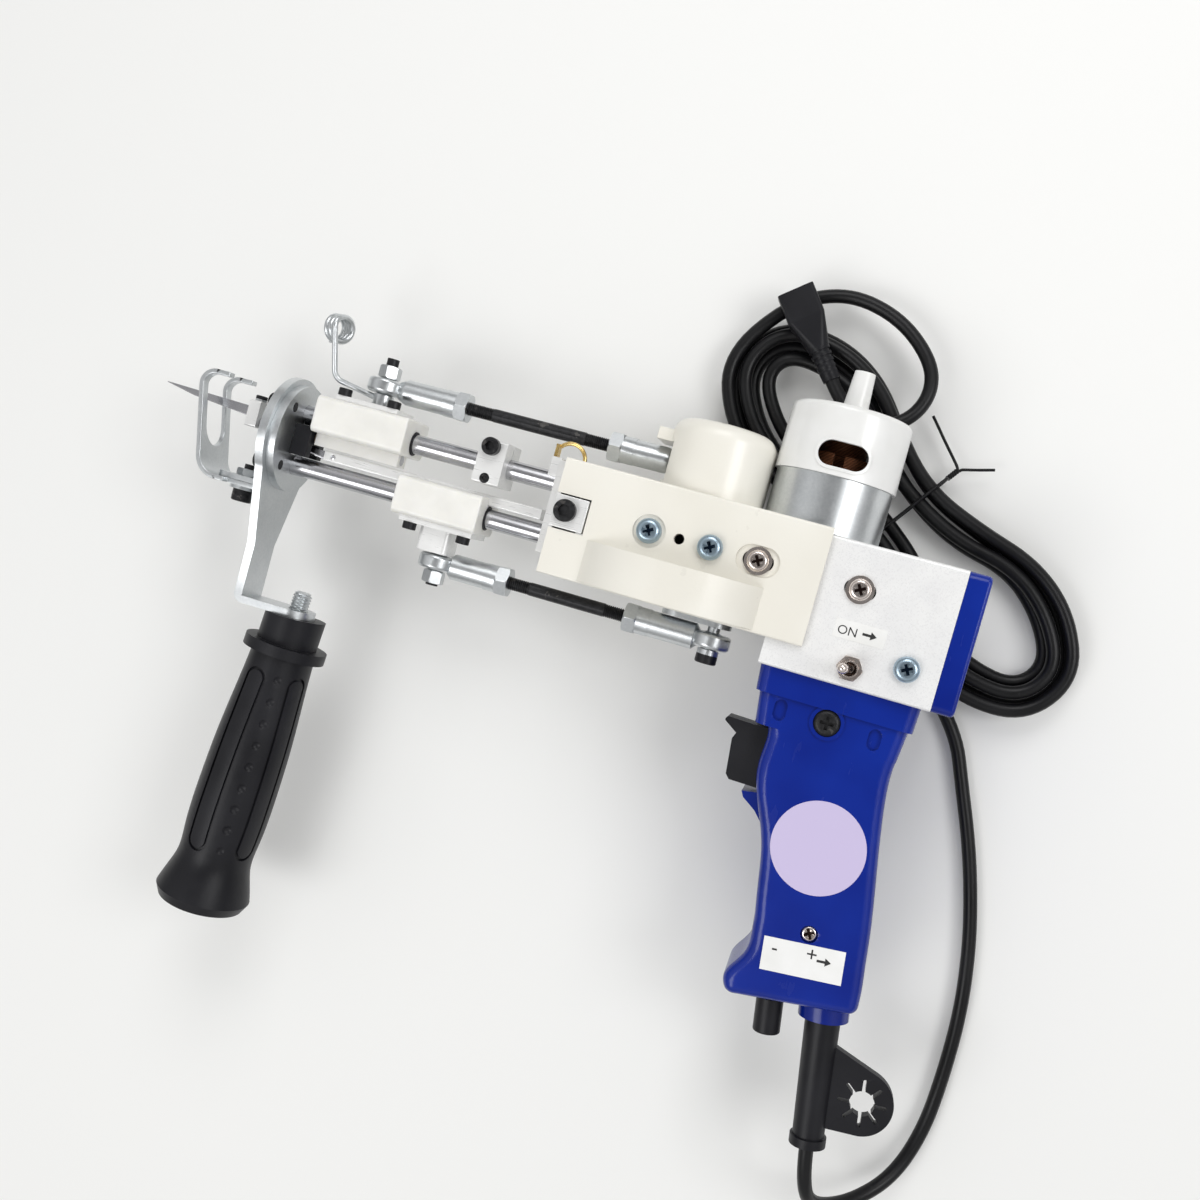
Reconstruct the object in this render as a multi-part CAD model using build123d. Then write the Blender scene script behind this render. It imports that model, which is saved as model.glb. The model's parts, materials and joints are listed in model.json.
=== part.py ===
from build123d import *
import math
import os

# Handheld tufting machine, lying on its side with the near face up.
# Local axes: X from needle (-) to handle (+), Y from grip (-) to motor (+), Z towards the near side.
# The crankshaft is the line X = 0, Z = 0, and everything is measured from it.

# Place of the crankshaft in the shared frame, whose origin is under the middle of the machine
crank_x = 53.2
crank_y = 62.6
crank_z = 43.4

# Fits and running gaps
screw_fit = 0.05
press_fit = 0.01
run_fit = 0.05
open_gap = 0.3
cut_over = 1.0

# Guide rods
rod_r = 4.0
rod_mid_y = 1.0
rod_spacing = 21.3
upper_rod_y = rod_mid_y + rod_spacing / 2
lower_rod_y = rod_mid_y - rod_spacing / 2

# Housing
house_left = 53.0
house_right = 49.7
house_top = 21.0
house_bottom = 23.6
house_half = 27.0
house_wall = 3.0
house_top_wall = 2.2
house_edge = 0.8

# Round gear guard that bulges out of the housing
gear_guard_r = 43.4
gear_guard_wall = 2.5
gear_guard_back = 3.0
gear_guard_top = 7.0
gear_guard_bottom = 22.5

# Guard over the needle crank
crank_guard_r = 20.2
crank_guard_straight = 4.0
crank_guard_height = 27.5
crank_guard_wall = 1.8
crank_guard_round = 6.0
crank_guard_mouth_low = 2.0
crank_guard_mouth_high = 16.8
crank_guard_mouth_half = 13.6
crank_guard_lip = 25.0
crank_guard_lip_half = 11.0
crank_guard_lip_thick = 2.5

# Aluminium motor box and its end cap
box_left = 36.0
box_right = 99.5
box_bottom = 33.6
box_half = 24.0
box_wall = 2.5
box_top = house_top - house_top_wall
cap_length = 8.5
cap_wall = 2.5
cap_corner = 3.0
cap_spigot = 4.0

# Gears: module 1, so a pitch radius is half the number of teeth
gear_module = 1.0
gear_teeth = 72
pinion_teeth = 16
gear_low = 18.6
gear_high = 10.6
gear_bore_r = 4.0
gear_hub_r = 9.0
gear_hub_rise = 4.0
gear_web = 4.0
gear_mesh_gap = 0.35
gear_root_share = 1.2
gear_tooth_shares = [0.28, 0.20, 0.10]
gear_pitch_r = gear_teeth * gear_module / 2
pinion_pitch_r = pinion_teeth * gear_module / 2
motor_x = gear_pitch_r + pinion_pitch_r

# Motor outline and the nose that centres it in the box
motor_r = 22.4
motor_nose_r = 8.5

# Crankshaft, its bearings and the two cranks
shaft_r = 4.0
bearing_r = 6.0
bearing_width = 3.5
bearing_boss_r = 8.5
needle_throw = 7.5
blade_throw = 15.0
needle_crank_r = 14.5
needle_crank_thick = 3.8
needle_crank_low = 21.6
blade_crank_thick = 2.4
blade_crank_gap = 0.4
blade_crank_half = 6.5

# Push rods with their rod ends
eye_r = 7.6
eye_thick = 6.0
eye_hole_r = 2.5
ball_r = 4.6
shank_r = 5.2
sleeve_r = 5.4
neck_r = 2.8
thread_r = 2.7
thread_seat = 10.0
rod_nut_across = 11.0
rod_nut_thick = 5.2
ball_half = 3.4
sleeve_length = 5.0
needle_push_y = 31.0
needle_eye_x = -140.6
needle_front_nut = -103.8
needle_rear_nut = -43.8
needle_shank_front = -131.0
needle_shank_rear = -21.0
blade_push_y = -32.0
blade_eye_x = -100.2
blade_front_nut = -68.6
blade_rear_nut = -20.1
blade_shank_front = -93.0
blade_shank_rear = 8.2

# Sliders of white nylon
slider_corner = 2.2
needle_slider_front = -162.7
needle_slider_rear = -122.8
needle_slider_low = 5.6
needle_slider_high = 20.7
needle_slider_half = 13.0
blade_slider_front = -121.0
blade_slider_rear = -85.0
blade_slider_low = -17.0
blade_slider_high = -1.5
blade_slider_half = 13.0
bush_r = 4.9
bush_stand = 0.6

# Front disc, handle bracket, presser foot
bracket_front = -178.0
bracket_thick = 3.5
ring_outer_r = 24.6
ring_inner_r = 15.0
disc_r = 22.25
disc_thick = 3.5
front_window_low = -5.55
front_window_high = 7.3
front_window_half = 5.0
leg_half = 9.0
leg_neck_y = -45.0
leg_root_half = 20.0
leg_root_y = -13.0
flange_y = -69.8
flange_thick = 3.0
flange_rear = -145.5
flange_bend = 4.0

# Side handle
handle_x = -153.0
handle_top = flange_y + 0.9
handle_tilt = 4.0
handle_neck_r = 12.5
handle_neck = 12.5
handle_flange_r = 17.0
handle_flange = 4.5
handle_end_r = 19.6
handle_length = 127.0
stud_r = 4.0
stud_rise = 9.5
stud_depth = 32.0

# Fasteners: head radius, head height, shank radius, across flats
pan_head_r = 4.75
pan_head_h = 3.6
pan_shank_r = 2.5
cap_head_r = 4.25
cap_head_h = 5.0
cap_shank_r = 2.5
small_head_r = 3.5
small_head_h = 4.0
small_shank_r = 2.0
grub_r = 2.0
washer_r = 6.0
washer_thick = 1.0
nut_across = 8.0
nut_thick = 6.0
pan_round_share = 0.6
nut_corner_share = 0.575
nut_bevel_share = 0.06


def block(x0, x1, y0, y1, z0, z1):
    return Pos((x0 + x1) / 2, (y0 + y1) / 2, (z0 + z1) / 2) * Box(x1 - x0, y1 - y0, z1 - z0)


def along_x(x0, x1, y, z, r):
    return Pos((x0 + x1) / 2, y, z) * Rot(0, 90, 0) * Cylinder(r, x1 - x0)


def along_y(y0, y1, x, z, r):
    return Pos(x, (y0 + y1) / 2, z) * Rot(90, 0, 0) * Cylinder(r, y1 - y0)


def along_z(z0, z1, x, y, r):
    return Pos(x, y, (z0 + z1) / 2) * Cylinder(r, z1 - z0)


# Turns a piece made along +Z so that its +Z points along the given direction, at the given place
def aim(piece, place, direction):
    return Plane(origin=place, z_dir=direction).location * piece


# A block with its edges along one axis rounded
def rounded(piece, radius, axis):
    return fillet(piece.edges().filter_by(axis), radius)


# A plate in the plane of X and Y with an outline of points, from z0 to z1
def plate(points, z0, z1):
    face = make_face(Polyline(*points, close=True))
    return Pos(0, 0, z0) * extrude(face, z1 - z0)


# Screws stand at the origin: head above, shank below
def phillips_screw(head_r, head_h, shank, length):
    head = Pos(0, 0, head_h / 2) * Cylinder(head_r, head_h)
    head = fillet(head.edges().group_by(Axis.Z)[-1], head_h * pan_round_share)
    slot = Box(head_r, head_r / 4, head_h) + Box(head_r / 4, head_r, head_h)
    head = head - Pos(0, 0, head_h) * slot
    return head + Pos(0, 0, -length / 2) * Cylinder(shank, length)


def socket_screw(head_r, head_h, shank, length):
    head = Pos(0, 0, head_h / 2) * Cylinder(head_r, head_h)
    head = chamfer(head.edges().group_by(Axis.Z)[-1], head_r / 10)
    key = extrude(RegularPolygon(head_r / 2, 6, major_radius=False), head_h)
    head = head - Pos(0, 0, head_h / 2) * key
    return head + Pos(0, 0, -length / 2) * Cylinder(shank, length)


def hex_nut(across, thick, bore):
    prism = extrude(RegularPolygon(across / 2, 6, major_radius=False), thick)
    trim = Pos(0, 0, thick / 2) * Cylinder(across * nut_corner_share, thick)
    trim = chamfer(trim.edges(), across * nut_bevel_share)
    return (prism & trim) - Pos(0, 0, thick / 2) * Cylinder(bore, thick + cut_over)


def washer(outer, bore, thick):
    return Pos(0, 0, thick / 2) * (Cylinder(outer, thick) - Cylinder(bore, thick + cut_over))


# Housing: two shells that meet at Z = 0, with the gear guard bulging from both faces
bearing_low = -house_bottom
bearing_high = house_top - bearing_width
block_right = -40.0
block_low = -5.4
block_high = 7.0
notch_gap = 0.6
blue_screw_y = 2.3
blue_screw_x = [-15.5, 8.1]
blue_recess_r = 6.2
blue_recess_deep = 0.7
sight_hole_x = -3.9
sight_hole_r = 2.0
slot_screw_x = 26.2
slot_screw_y = 2.2
slot_half = 2.6
slot_r = 5.6
slot_deep = 1.2
side_slot_r = 3.2


def slot_tool(x, y, half, r, z0, z1):
    tool = block(x - half, x + half, y - r, y + r, z0, z1)
    return tool + along_z(z0, z1, x - half, y, r) + along_z(z0, z1, x + half, y, r)


def housing_solid():
    body = block(-house_left, house_right, -house_bottom, house_top, -house_half, house_half)
    body = rounded(body, house_edge, Axis.X)
    body = body + along_y(-gear_guard_bottom, -gear_guard_top, -gear_guard_back, 0, gear_guard_r)
    inner_low = -house_bottom + house_wall
    inner_high = house_top - house_top_wall
    body -= block(-house_left + house_wall, house_right + cut_over, inner_low, inner_high, -box_half,
                  box_half)
    guard_low = -gear_guard_bottom + gear_guard_wall
    guard_high = -gear_guard_top - gear_guard_wall
    body -= along_y(guard_low, guard_high, -gear_guard_back, 0, gear_guard_r - gear_guard_wall)
    body -= block(box_left, house_right + cut_over, -house_bottom - cut_over, inner_low, -box_half, box_half)
    body += along_y(bearing_low, bearing_low + bearing_width, 0, 0, bearing_boss_r)
    body += along_y(bearing_high, house_top, 0, 0, bearing_boss_r)
    body -= along_y(-house_bottom - cut_over, house_top + cut_over, 0, 0, bearing_r + press_fit)
    body -= along_y(inner_high, house_top + cut_over, motor_x, 0, motor_r + open_gap)
    notch = block(-house_left - cut_over, block_right + notch_gap, block_low - notch_gap,
                  block_high + notch_gap,
                  -house_half - cut_over, house_half + cut_over)
    body -= notch
    for y in (upper_rod_y, lower_rod_y):
        body -= along_x(-house_left - cut_over, -house_left + house_wall + cut_over, y, 0, rod_r + screw_fit)
    for side in (-1, 1):
        face = side * house_half
        inside = side * (house_half - blue_recess_deep)
        low, high = sorted((side * (box_half - cut_over), side * (house_half + cut_over)))
        for x in blue_screw_x:
            body -= along_z(low, high, x, blue_screw_y, pan_shank_r + screw_fit)
        body -= along_z(*sorted((inside, face)), blue_screw_x[0], blue_screw_y, blue_recess_r)
        body -= along_z(low, high, sight_hole_x, blue_screw_y, sight_hole_r)
        body -= slot_tool(slot_screw_x, slot_screw_y, slot_half, slot_r, *sorted((face - side * slot_deep,
                                                                                  face)))
        body -= slot_tool(slot_screw_x, slot_screw_y, slot_half, side_slot_r, low, high)
    return body


half_reach_share = 5


def half_of(body, side):
    reach = half_reach_share * gear_guard_r
    low, high = sorted((0, side * reach))
    return body & block(-reach, reach, -reach, reach, low, high)


# Guard over the needle crank: a round-ended cup, open at the front under a small roof
def stadium_y(x, r, half, y0, y1):
    tool = block(x - r, x + r, y0, y1, -half, half)
    return tool + along_y(y0, y1, x, -half, r) + along_y(y0, y1, x, half, r)


def crank_guard_solid():
    top = house_top + crank_guard_height
    cup = stadium_y(0, crank_guard_r, crank_guard_straight, house_top, top)
    cup = fillet(cup.edges().group_by(Axis.Y)[-1], crank_guard_round)
    inner_r = crank_guard_r - crank_guard_wall
    hollow = stadium_y(0, inner_r, crank_guard_straight, house_top, top - crank_guard_wall)
    hollow = fillet(hollow.edges().group_by(Axis.Y)[-1], crank_guard_round - crank_guard_wall)
    cup -= hollow
    mouth_half = crank_guard_mouth_half
    lip_half = crank_guard_lip_half
    low = house_top + crank_guard_mouth_low
    high = house_top + crank_guard_mouth_high
    cup -= block(-crank_guard_r - cut_over, 0, low, high, -mouth_half, mouth_half)
    roof = block(-crank_guard_lip, -crank_guard_r + crank_guard_round, high, high + crank_guard_lip_thick,
                 -lip_half, lip_half)
    beak = block(-crank_guard_lip, -crank_guard_r + crank_guard_round, high + crank_guard_lip_thick,
                 top - crank_guard_round, -lip_half, lip_half)
    return cup + (roof + beak - hollow)


# Aluminium motor box, open at the left towards the gears and at the right under the end cap
label_x = [58.9, 77.8]
toggle_x = 68.2
toggle_y = -26.4
toggle_bush_r = 3.0
toggle_body_long = 13.0
toggle_body_wide = 8.0
toggle_body_deep = 10.0
toggle_bush_rise = 7.0
toggle_nut_thick = 2.2
toggle_nut_across = 8.6
lever_r = 1.3
lever_tip_r = 1.9
lever_long = 12.0
lever_swing = 24.0
lever_well_r = 2.6
lever_well_deep = 4.5
box_slot_screw_x = 64.2
box_slot_screw_y = 1.9
box_pan_x = 87.6
box_pan_y = -21.2
box_edge = 1.2
wire_hole_r = 5.0
wire_hole_x = 62.0
board_left = 70.0
board_right = 94.0
board_y = 8.0
board_thick = 1.6
board_half = 20.0


def box_solid():
    body = block(box_left, box_right, -box_bottom, box_top, -box_half, box_half)
    body = rounded(body, box_edge, Axis.X)
    body -= block(box_left - cut_over, box_right + cut_over, -box_bottom + box_wall, box_top - box_wall,
                  -box_half + box_wall, box_half - box_wall)
    body -= along_y(box_top - box_wall - cut_over, box_top + cut_over, motor_x, 0, motor_nose_r + open_gap)
    body -= along_y(-box_bottom - cut_over, -box_bottom + box_wall + cut_over, wire_hole_x, 0, wire_hole_r)
    for side in (-1, 1):
        low, high = sorted((side * (box_half - box_wall - cut_over), side * (box_half + cut_over)))
        body -= slot_tool(box_slot_screw_x, box_slot_screw_y, slot_half, side_slot_r, low, high)
        body -= along_z(low, high, box_pan_x, box_pan_y, small_shank_r + screw_fit)
    inner = box_half - box_wall - cut_over
    body -= along_z(inner, box_half + cut_over, toggle_x, toggle_y, toggle_bush_r + screw_fit)
    return body


def end_cap_solid():
    right = box_right + cap_length
    cap = block(box_right, right, -box_bottom, box_top, -box_half, box_half)
    cap = fillet(cap.edges().filter_by(Axis.X), cap_corner)
    cap = fillet(cap.edges().group_by(Axis.X)[-1], cap_corner / 2)
    inside = box_half - box_wall - open_gap
    low = -box_bottom + box_wall + open_gap
    high = box_top - box_wall - open_gap
    cap += block(box_right - cap_spigot, box_right, low, high, -inside, inside)
    wall = cap_wall
    cap -= block(box_right - cap_spigot - cut_over, right - wall, low + wall, high - wall,
                 -inside + wall, inside - wall)
    return cap


# Gears and crankshaft; every turning piece is made about the line X = 0, Z = 0
def gear_outline(teeth, module, thin):
    pitch = teeth * module / 2
    tip = pitch + module - thin
    root = pitch - gear_root_share * module
    step = 2 * math.pi / teeth
    shares = list(zip((root, pitch, tip), gear_tooth_shares))
    points = []
    for tooth in range(teeth):
        middle = tooth * step
        points += [(r * math.cos(middle - share * step), r * math.sin(middle - share * step))
                   for r, share in shares]
        points += [(r * math.cos(middle + share * step), r * math.sin(middle + share * step))
                   for r, share in reversed(shares)]
    return make_face(Polyline(*points, close=True))


# A disc made along +Z is laid along +Y at the given height
def turned_y(shape, x, y):
    return Pos(x, y, 0) * Rot(-90, 0, 0) * shape


gear_hole_share = 0.6
gear_hole_r = 6.5
gear_rim = 5.0


def crank_gear_solid():
    face_width = gear_low - gear_high
    wheel = extrude(gear_outline(gear_teeth, gear_module, gear_mesh_gap), face_width)
    recess = (face_width - gear_web) / 2
    ring = Cylinder(gear_pitch_r - gear_rim, recess) - Cylinder(gear_hub_r, recess)
    wheel -= Pos(0, 0, recess / 2) * ring
    wheel -= Pos(0, 0, face_width - recess / 2) * ring
    for place in PolarLocations(gear_pitch_r * gear_hole_share, 6):
        wheel -= place * Cylinder(gear_hole_r, 2 * face_width)
    wheel += Pos(0, 0, face_width + gear_hub_rise / 2) * Cylinder(gear_hub_r, gear_hub_rise)
    wheel -= Cylinder(gear_bore_r + press_fit, 4 * face_width)
    return turned_y(wheel, 0, -gear_low)


pinion_bore_r = 2.5
pinion_over = 1.0


def pinion_solid():
    width = gear_low - gear_high + 2 * pinion_over
    teeth = extrude(Rot(0, 0, 180 / pinion_teeth) * gear_outline(pinion_teeth, gear_module, gear_mesh_gap),
                    width)
    teeth -= Cylinder(pinion_bore_r + press_fit, 4 * width)
    return turned_y(teeth, motor_x, -gear_low - pinion_over)


needle_crank_x = -needle_throw
blade_crank_x = blade_throw
blade_crank_top = -house_bottom - blade_crank_gap
blade_crank_low = blade_crank_top - blade_crank_thick
counter_hole_r = 2.0


def crankshaft_solid():
    shaft = along_y(blade_crank_low, needle_crank_low, 0, 0, shaft_r)
    disc = along_y(needle_crank_low, needle_crank_low + needle_crank_thick, 0, 0, needle_crank_r)
    disc -= along_y(needle_crank_low, needle_crank_low + needle_crank_thick, needle_throw, 0, counter_hole_r)
    return shaft + disc


def blade_crank_solid():
    arm = block(0, blade_crank_x, blade_crank_low, blade_crank_top, -blade_crank_half, blade_crank_half)
    arm += along_y(blade_crank_low, blade_crank_top, 0, 0, blade_crank_half)
    arm += along_y(blade_crank_low, blade_crank_top, blade_crank_x, 0, blade_crank_half)
    return arm - along_y(blade_crank_low - cut_over, blade_crank_top + cut_over, 0, 0, shaft_r + press_fit)


def bearing_solid(y):
    ring = Cylinder(bearing_r, bearing_width) - Cylinder(shaft_r + run_fit, bearing_width + cut_over)
    return turned_y(Pos(0, 0, bearing_width / 2) * ring, 0, y)


# Motor: can, cover with its window, armature
motor_base = box_top
motor_can_top = 39.5
motor_wall = 1.4
cover_r_low = 23.4
cover_r_high = 23.0
cover_top = 66.0
cover_wall = 1.6
cover_round = 2.4
nub_low_r = 5.0
nub_high_r = 4.0
nub_top = 82.0
nub_wall = 1.2
window_left = 36.0
window_right = 54.5
window_low = 42.6
window_high = 52.0
window_rim = 1.2
window_rim_rise = 0.8
motor_shaft_r = 2.5
armature_r = 17.0
armature_low = 24.0
armature_high = 48.0
commutator_r = 9.0
commutator_high = 56.0
motor_shaft_top = 63.0
vent_count = 8
vent_half = 2.0
vent_start_share = 0.62


def motor_can_solid():
    can = along_y(motor_base, motor_can_top, motor_x, 0, motor_r)
    can -= along_y(motor_base + motor_wall, motor_can_top + cut_over, motor_x, 0, motor_r - motor_wall)
    nose = along_y(box_top - box_wall, motor_base, motor_x, 0, motor_nose_r)
    nose += can
    return nose - along_y(box_top - 2 * box_wall, motor_base + 2 * motor_wall, motor_x, 0,
                          motor_shaft_r + run_fit)


def motor_cover_solid():
    height = cover_top - motor_can_top
    cover = Pos(0, 0, height / 2) * Cone(cover_r_low, cover_r_high, height)
    cover = fillet(cover.edges().group_by(Axis.Z)[-1], cover_round)
    nub_long = nub_top - cover_top
    cover += Pos(0, 0, height + nub_long / 2) * Cone(nub_low_r, nub_high_r, nub_long)
    inner = height - cover_wall
    cover -= Pos(0, 0, inner / 2) * Cone(cover_r_low - cover_wall, cover_r_high - cover_wall, inner)
    bore = nub_high_r - nub_wall
    cover -= Pos(0, 0, height) * Cylinder(bore, 2 * (nub_long - nub_wall))
    cover = turned_y(cover, motor_x, motor_can_top)
    middle = (window_left + window_right) / 2
    half = (window_right - window_left - (window_high - window_low)) / 2
    level = (window_low + window_high) / 2
    radius = (window_high - window_low) / 2
    reach = cover_r_low + window_rim_rise
    rim = slot_tool(middle, level, half, radius + window_rim, 0, reach)
    shell = along_y(window_low - radius, window_high + radius, motor_x, 0, cover_r_high + window_rim_rise)
    shell -= along_y(window_low - radius, window_high + radius, motor_x, 0, cover_r_high - cover_wall / 2)
    cover += rim & shell
    return cover - slot_tool(middle, level, half, radius, armature_r, reach + cut_over)


def armature_solid():
    core = along_y(armature_low, armature_high, motor_x, 0, armature_r)
    for turn in range(vent_count):
        angle = 360 * turn / vent_count
        slot = block(armature_r * vent_start_share, armature_r + cut_over, armature_low - cut_over,
                     armature_high + cut_over, -vent_half, vent_half)
        core -= Pos(motor_x, 0, 0) * Rot(0, angle, 0) * slot
    core += along_y(armature_high, commutator_high, motor_x, 0, commutator_r)
    low = -gear_low - pinion_over
    return core + along_y(low, motor_shaft_top, motor_x, 0, motor_shaft_r)


# Guide rods, seated in the front disc and in the rear plate
rod_front = bracket_front + bracket_thick
rod_rear = -house_left + house_wall


def guide_rods_solid():
    rods = []
    for y in (upper_rod_y, lower_rod_y):
        rods.append(along_x(rod_front, rod_rear, y, 0, rod_r))
    return Compound(children=rods)


# Rear plate between the rods and the housing, with its clamp block in the housing's notch
rear_plate_thick = 4.0
rear_plate_left = -house_left - rear_plate_thick
rear_plate_low = -16.5
rear_plate_high = 19.5
rear_plate_half = 21.0
rear_pad_half = 27.4
rear_pad_inner = 20.0
rear_screw_x = -48.0
rear_screw_y = 1.3
rear_screw_deep = 3.0
side_block_high = 20.5
side_block_low = 13.0
side_block_left = -61.0
side_block_half = 8.0
side_block_inner = 18.0


def rear_plate_solid():
    body = block(rear_plate_left, -house_left, rear_plate_low, rear_plate_high, -rear_plate_half,
                 rear_plate_half)
    body += block(-house_left, block_right, block_low, block_high, -rear_pad_half, rear_pad_half)
    body -= block(-house_left, block_right + cut_over, block_low - cut_over, block_high + cut_over,
                  -rear_pad_inner, rear_pad_inner)
    body += block(side_block_left, rear_plate_left, side_block_low, side_block_high, side_block_half,
                  side_block_inner)
    for y in (upper_rod_y, lower_rod_y):
        body -= along_x(rear_plate_left - cut_over, -house_left + cut_over, y, 0, rod_r + press_fit)
    for side in (-1, 1):
        low, high = sorted((side * (rear_pad_inner - cut_over), side * (rear_pad_half + cut_over)))
        body -= along_z(low, high, rear_screw_x, rear_screw_y, cap_shank_r + screw_fit)
    return body


# Clamp block on the upper rod
clamp_left = -92.6
clamp_right = -81.3
clamp_low = 3.4
clamp_high = 21.0
clamp_half = 10.0
clamp_slit = 1.2
clamp_screw_x = -87.4
clamp_screw_y = 18.2
clamp_grub_y = 5.6


def clamp_block_solid():
    body = block(clamp_left, clamp_right, clamp_low, clamp_high, -clamp_half, clamp_half)
    body = fillet(body.edges().filter_by(Axis.X), house_edge)
    body -= along_x(clamp_left - cut_over, clamp_right + cut_over, upper_rod_y, 0, rod_r + press_fit)
    body -= block(clamp_left - cut_over, clamp_right + cut_over, upper_rod_y, clamp_high + cut_over, 0,
                  clamp_slit)
    length = clamp_half
    body -= along_z(clamp_half - length, clamp_half + cut_over, clamp_screw_x, clamp_screw_y,
                    small_shank_r + screw_fit)
    grub_deep = clamp_half - rod_r
    return body - along_z(clamp_half - grub_deep, clamp_half + cut_over, clamp_screw_x, clamp_grub_y,
                          grub_r + screw_fit)


# Black screws of the clamp and the rear plate
def black_screws():
    screw = socket_screw(small_head_r, small_head_h, small_shank_r, clamp_half - 2 * clamp_slit)
    group = [aim(screw, (clamp_screw_x, clamp_screw_y, clamp_half), (0, 0, 1))]
    grub = socket_screw(grub_r, grub_r, grub_r, grub_r)
    group.append(aim(grub, (clamp_screw_x, clamp_grub_y, clamp_half - grub_r), (0, 0, 1)))
    for side in (-1, 1):
        screw = socket_screw(cap_head_r, rear_screw_deep, cap_shank_r, rear_pad_half - rear_pad_inner)
        group.append(aim(screw, (rear_screw_x, rear_screw_y, side * rear_pad_half), (0, 0, side)))
    return group


# Front disc, with a window for the needle bar and the blade bar
disc_rear = rod_front + disc_thick
disc_screw_reach = 12.0
needle_bar_y = 3.6
needle_bar_r = 2.2
needle_bush_r = 2.8


def disc_screw_places():
    return [(rod_mid_y + up * disc_screw_reach, side * disc_screw_reach) for up in (-1, 1) for side in (-1,
                                                                                                        1)]


def front_disc_solid():
    disc = along_x(rod_front, disc_rear, rod_mid_y, 0, disc_r)
    disc -= block(rod_front - cut_over, disc_rear + cut_over, front_window_low, front_window_high,
                  -front_window_half, front_window_half)
    for y in (upper_rod_y, lower_rod_y):
        disc -= along_x(rod_front - cut_over, disc_rear + cut_over, y, 0, rod_r + press_fit)
    for y, z in disc_screw_places():
        disc -= along_x(rod_front - cut_over, disc_rear + cut_over, y, z, small_shank_r + screw_fit)
    return disc


# Black guide behind the disc: a bronze bush for the needle bar above a channel for the blade bar
guide_rear = -163.8
guide_half = 8.0
guide_gap = 0.25
blade_bar_high = -0.2
blade_bar_low = -4.65
blade_bar_half = 3.0


def needle_guide_solid():
    low = lower_rod_y + rod_r + guide_gap
    high = upper_rod_y - rod_r - guide_gap
    body = block(disc_rear, guide_rear, low, high, -guide_half, guide_half)
    body -= block(disc_rear - cut_over, guide_rear + cut_over, low - cut_over, blade_bar_high + open_gap,
                  -blade_bar_half - open_gap, blade_bar_half + open_gap)
    return body - along_x(disc_rear - cut_over, guide_rear + cut_over, needle_bar_y, 0,
                          needle_bush_r + press_fit)


def needle_bush_solid():
    bush = along_x(disc_rear, guide_rear, needle_bar_y, 0, needle_bush_r)
    return bush - along_x(disc_rear - cut_over, guide_rear + cut_over, needle_bar_y, 0,
                          needle_bar_r + run_fit)


# Bracket: ring, leg, flange for the side handle, and a lug for the presser foot
lug_front = -200.0
lug_high = -19.5
lug_thick = 2.2
lug_half = 8.0
foot_screw_x = -190.0


def bracket_solid():
    back = bracket_front + bracket_thick
    ring = along_x(bracket_front, back, rod_mid_y, 0, ring_outer_r)
    outline = [(flange_y, leg_half), (leg_neck_y, leg_half), (leg_root_y, leg_root_half),
               (leg_root_y, -leg_root_half), (leg_neck_y, -leg_half), (flange_y, -leg_half)]
    face = make_face(Polyline(*[(bracket_front, y, z) for y, z in outline], close=True))
    ring += extrude(face, bracket_thick, dir=(1, 0, 0))
    ring -= along_x(bracket_front - cut_over, back + cut_over, rod_mid_y, 0, ring_inner_r)
    flange_end = flange_rear - leg_half
    ring += block(bracket_front, flange_end, flange_y, flange_y + flange_thick, -leg_half, leg_half)
    ring += along_y(flange_y, flange_y + flange_thick, flange_end, 0, leg_half)
    corner = ring.edges().filter_by(Axis.Z).sort_by(Axis.Y)[0:2].sort_by(Axis.X)[0]
    ring = fillet(corner, flange_bend)
    lug = block(lug_front, bracket_front, lug_high - lug_thick, lug_high, -lug_half, lug_half)
    lug = fillet(lug.edges().filter_by(Axis.Y).group_by(Axis.X)[0], lug_half / 2)
    lug -= along_y(lug_high - 2 * lug_thick, lug_high + cut_over, foot_screw_x, 0, small_shank_r + screw_fit)
    ring += lug
    ring -= handle_place() * along_y(-stud_depth, stud_rise, 0, 0, stud_r + screw_fit)
    for y, z in disc_screw_places():
        ring -= along_x(bracket_front - cut_over, back + cut_over, y, z, small_shank_r + screw_fit)
    return ring


# Presser foot: a strip bent up into two prongs that hook back at the top
foot_thick = 2.0
foot_gap = 0.1
foot_rear = bracket_front - open_gap
foot_high = lug_high - lug_thick - foot_gap
foot_low = foot_high - foot_thick
foot_strip_half = 8.0
foot_half = 12.2
foot_notch_half = 7.8
foot_notch_y = -3.0
foot_bend_x = -194.0
foot_bend_r = 10.0
foot_front_x = -216.6
foot_lean = 10.0
foot_hook_y = 20.0
foot_hook_r = 6.5
foot_hook_x = -202.5
foot_travel = 7.0
foot_slot_r = small_shank_r + 2 * open_gap


def foot_profile(inset):
    tall = foot_hook_y - foot_low
    slope = foot_lean / tall
    shift = inset * math.hypot(1, slope)
    low_x = foot_front_x + foot_lean - inset * slope + shift
    high_x = foot_front_x + inset * slope + shift
    return [(foot_rear, foot_low + inset), (low_x, foot_low + inset), (high_x, foot_hook_y - inset),
            (foot_hook_x, foot_hook_y - inset)], [foot_bend_r - inset, foot_hook_r - inset]


def foot_outline(inset):
    points, radii = foot_profile(inset)
    return FilletPolyline(*points, radius=radii)


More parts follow.
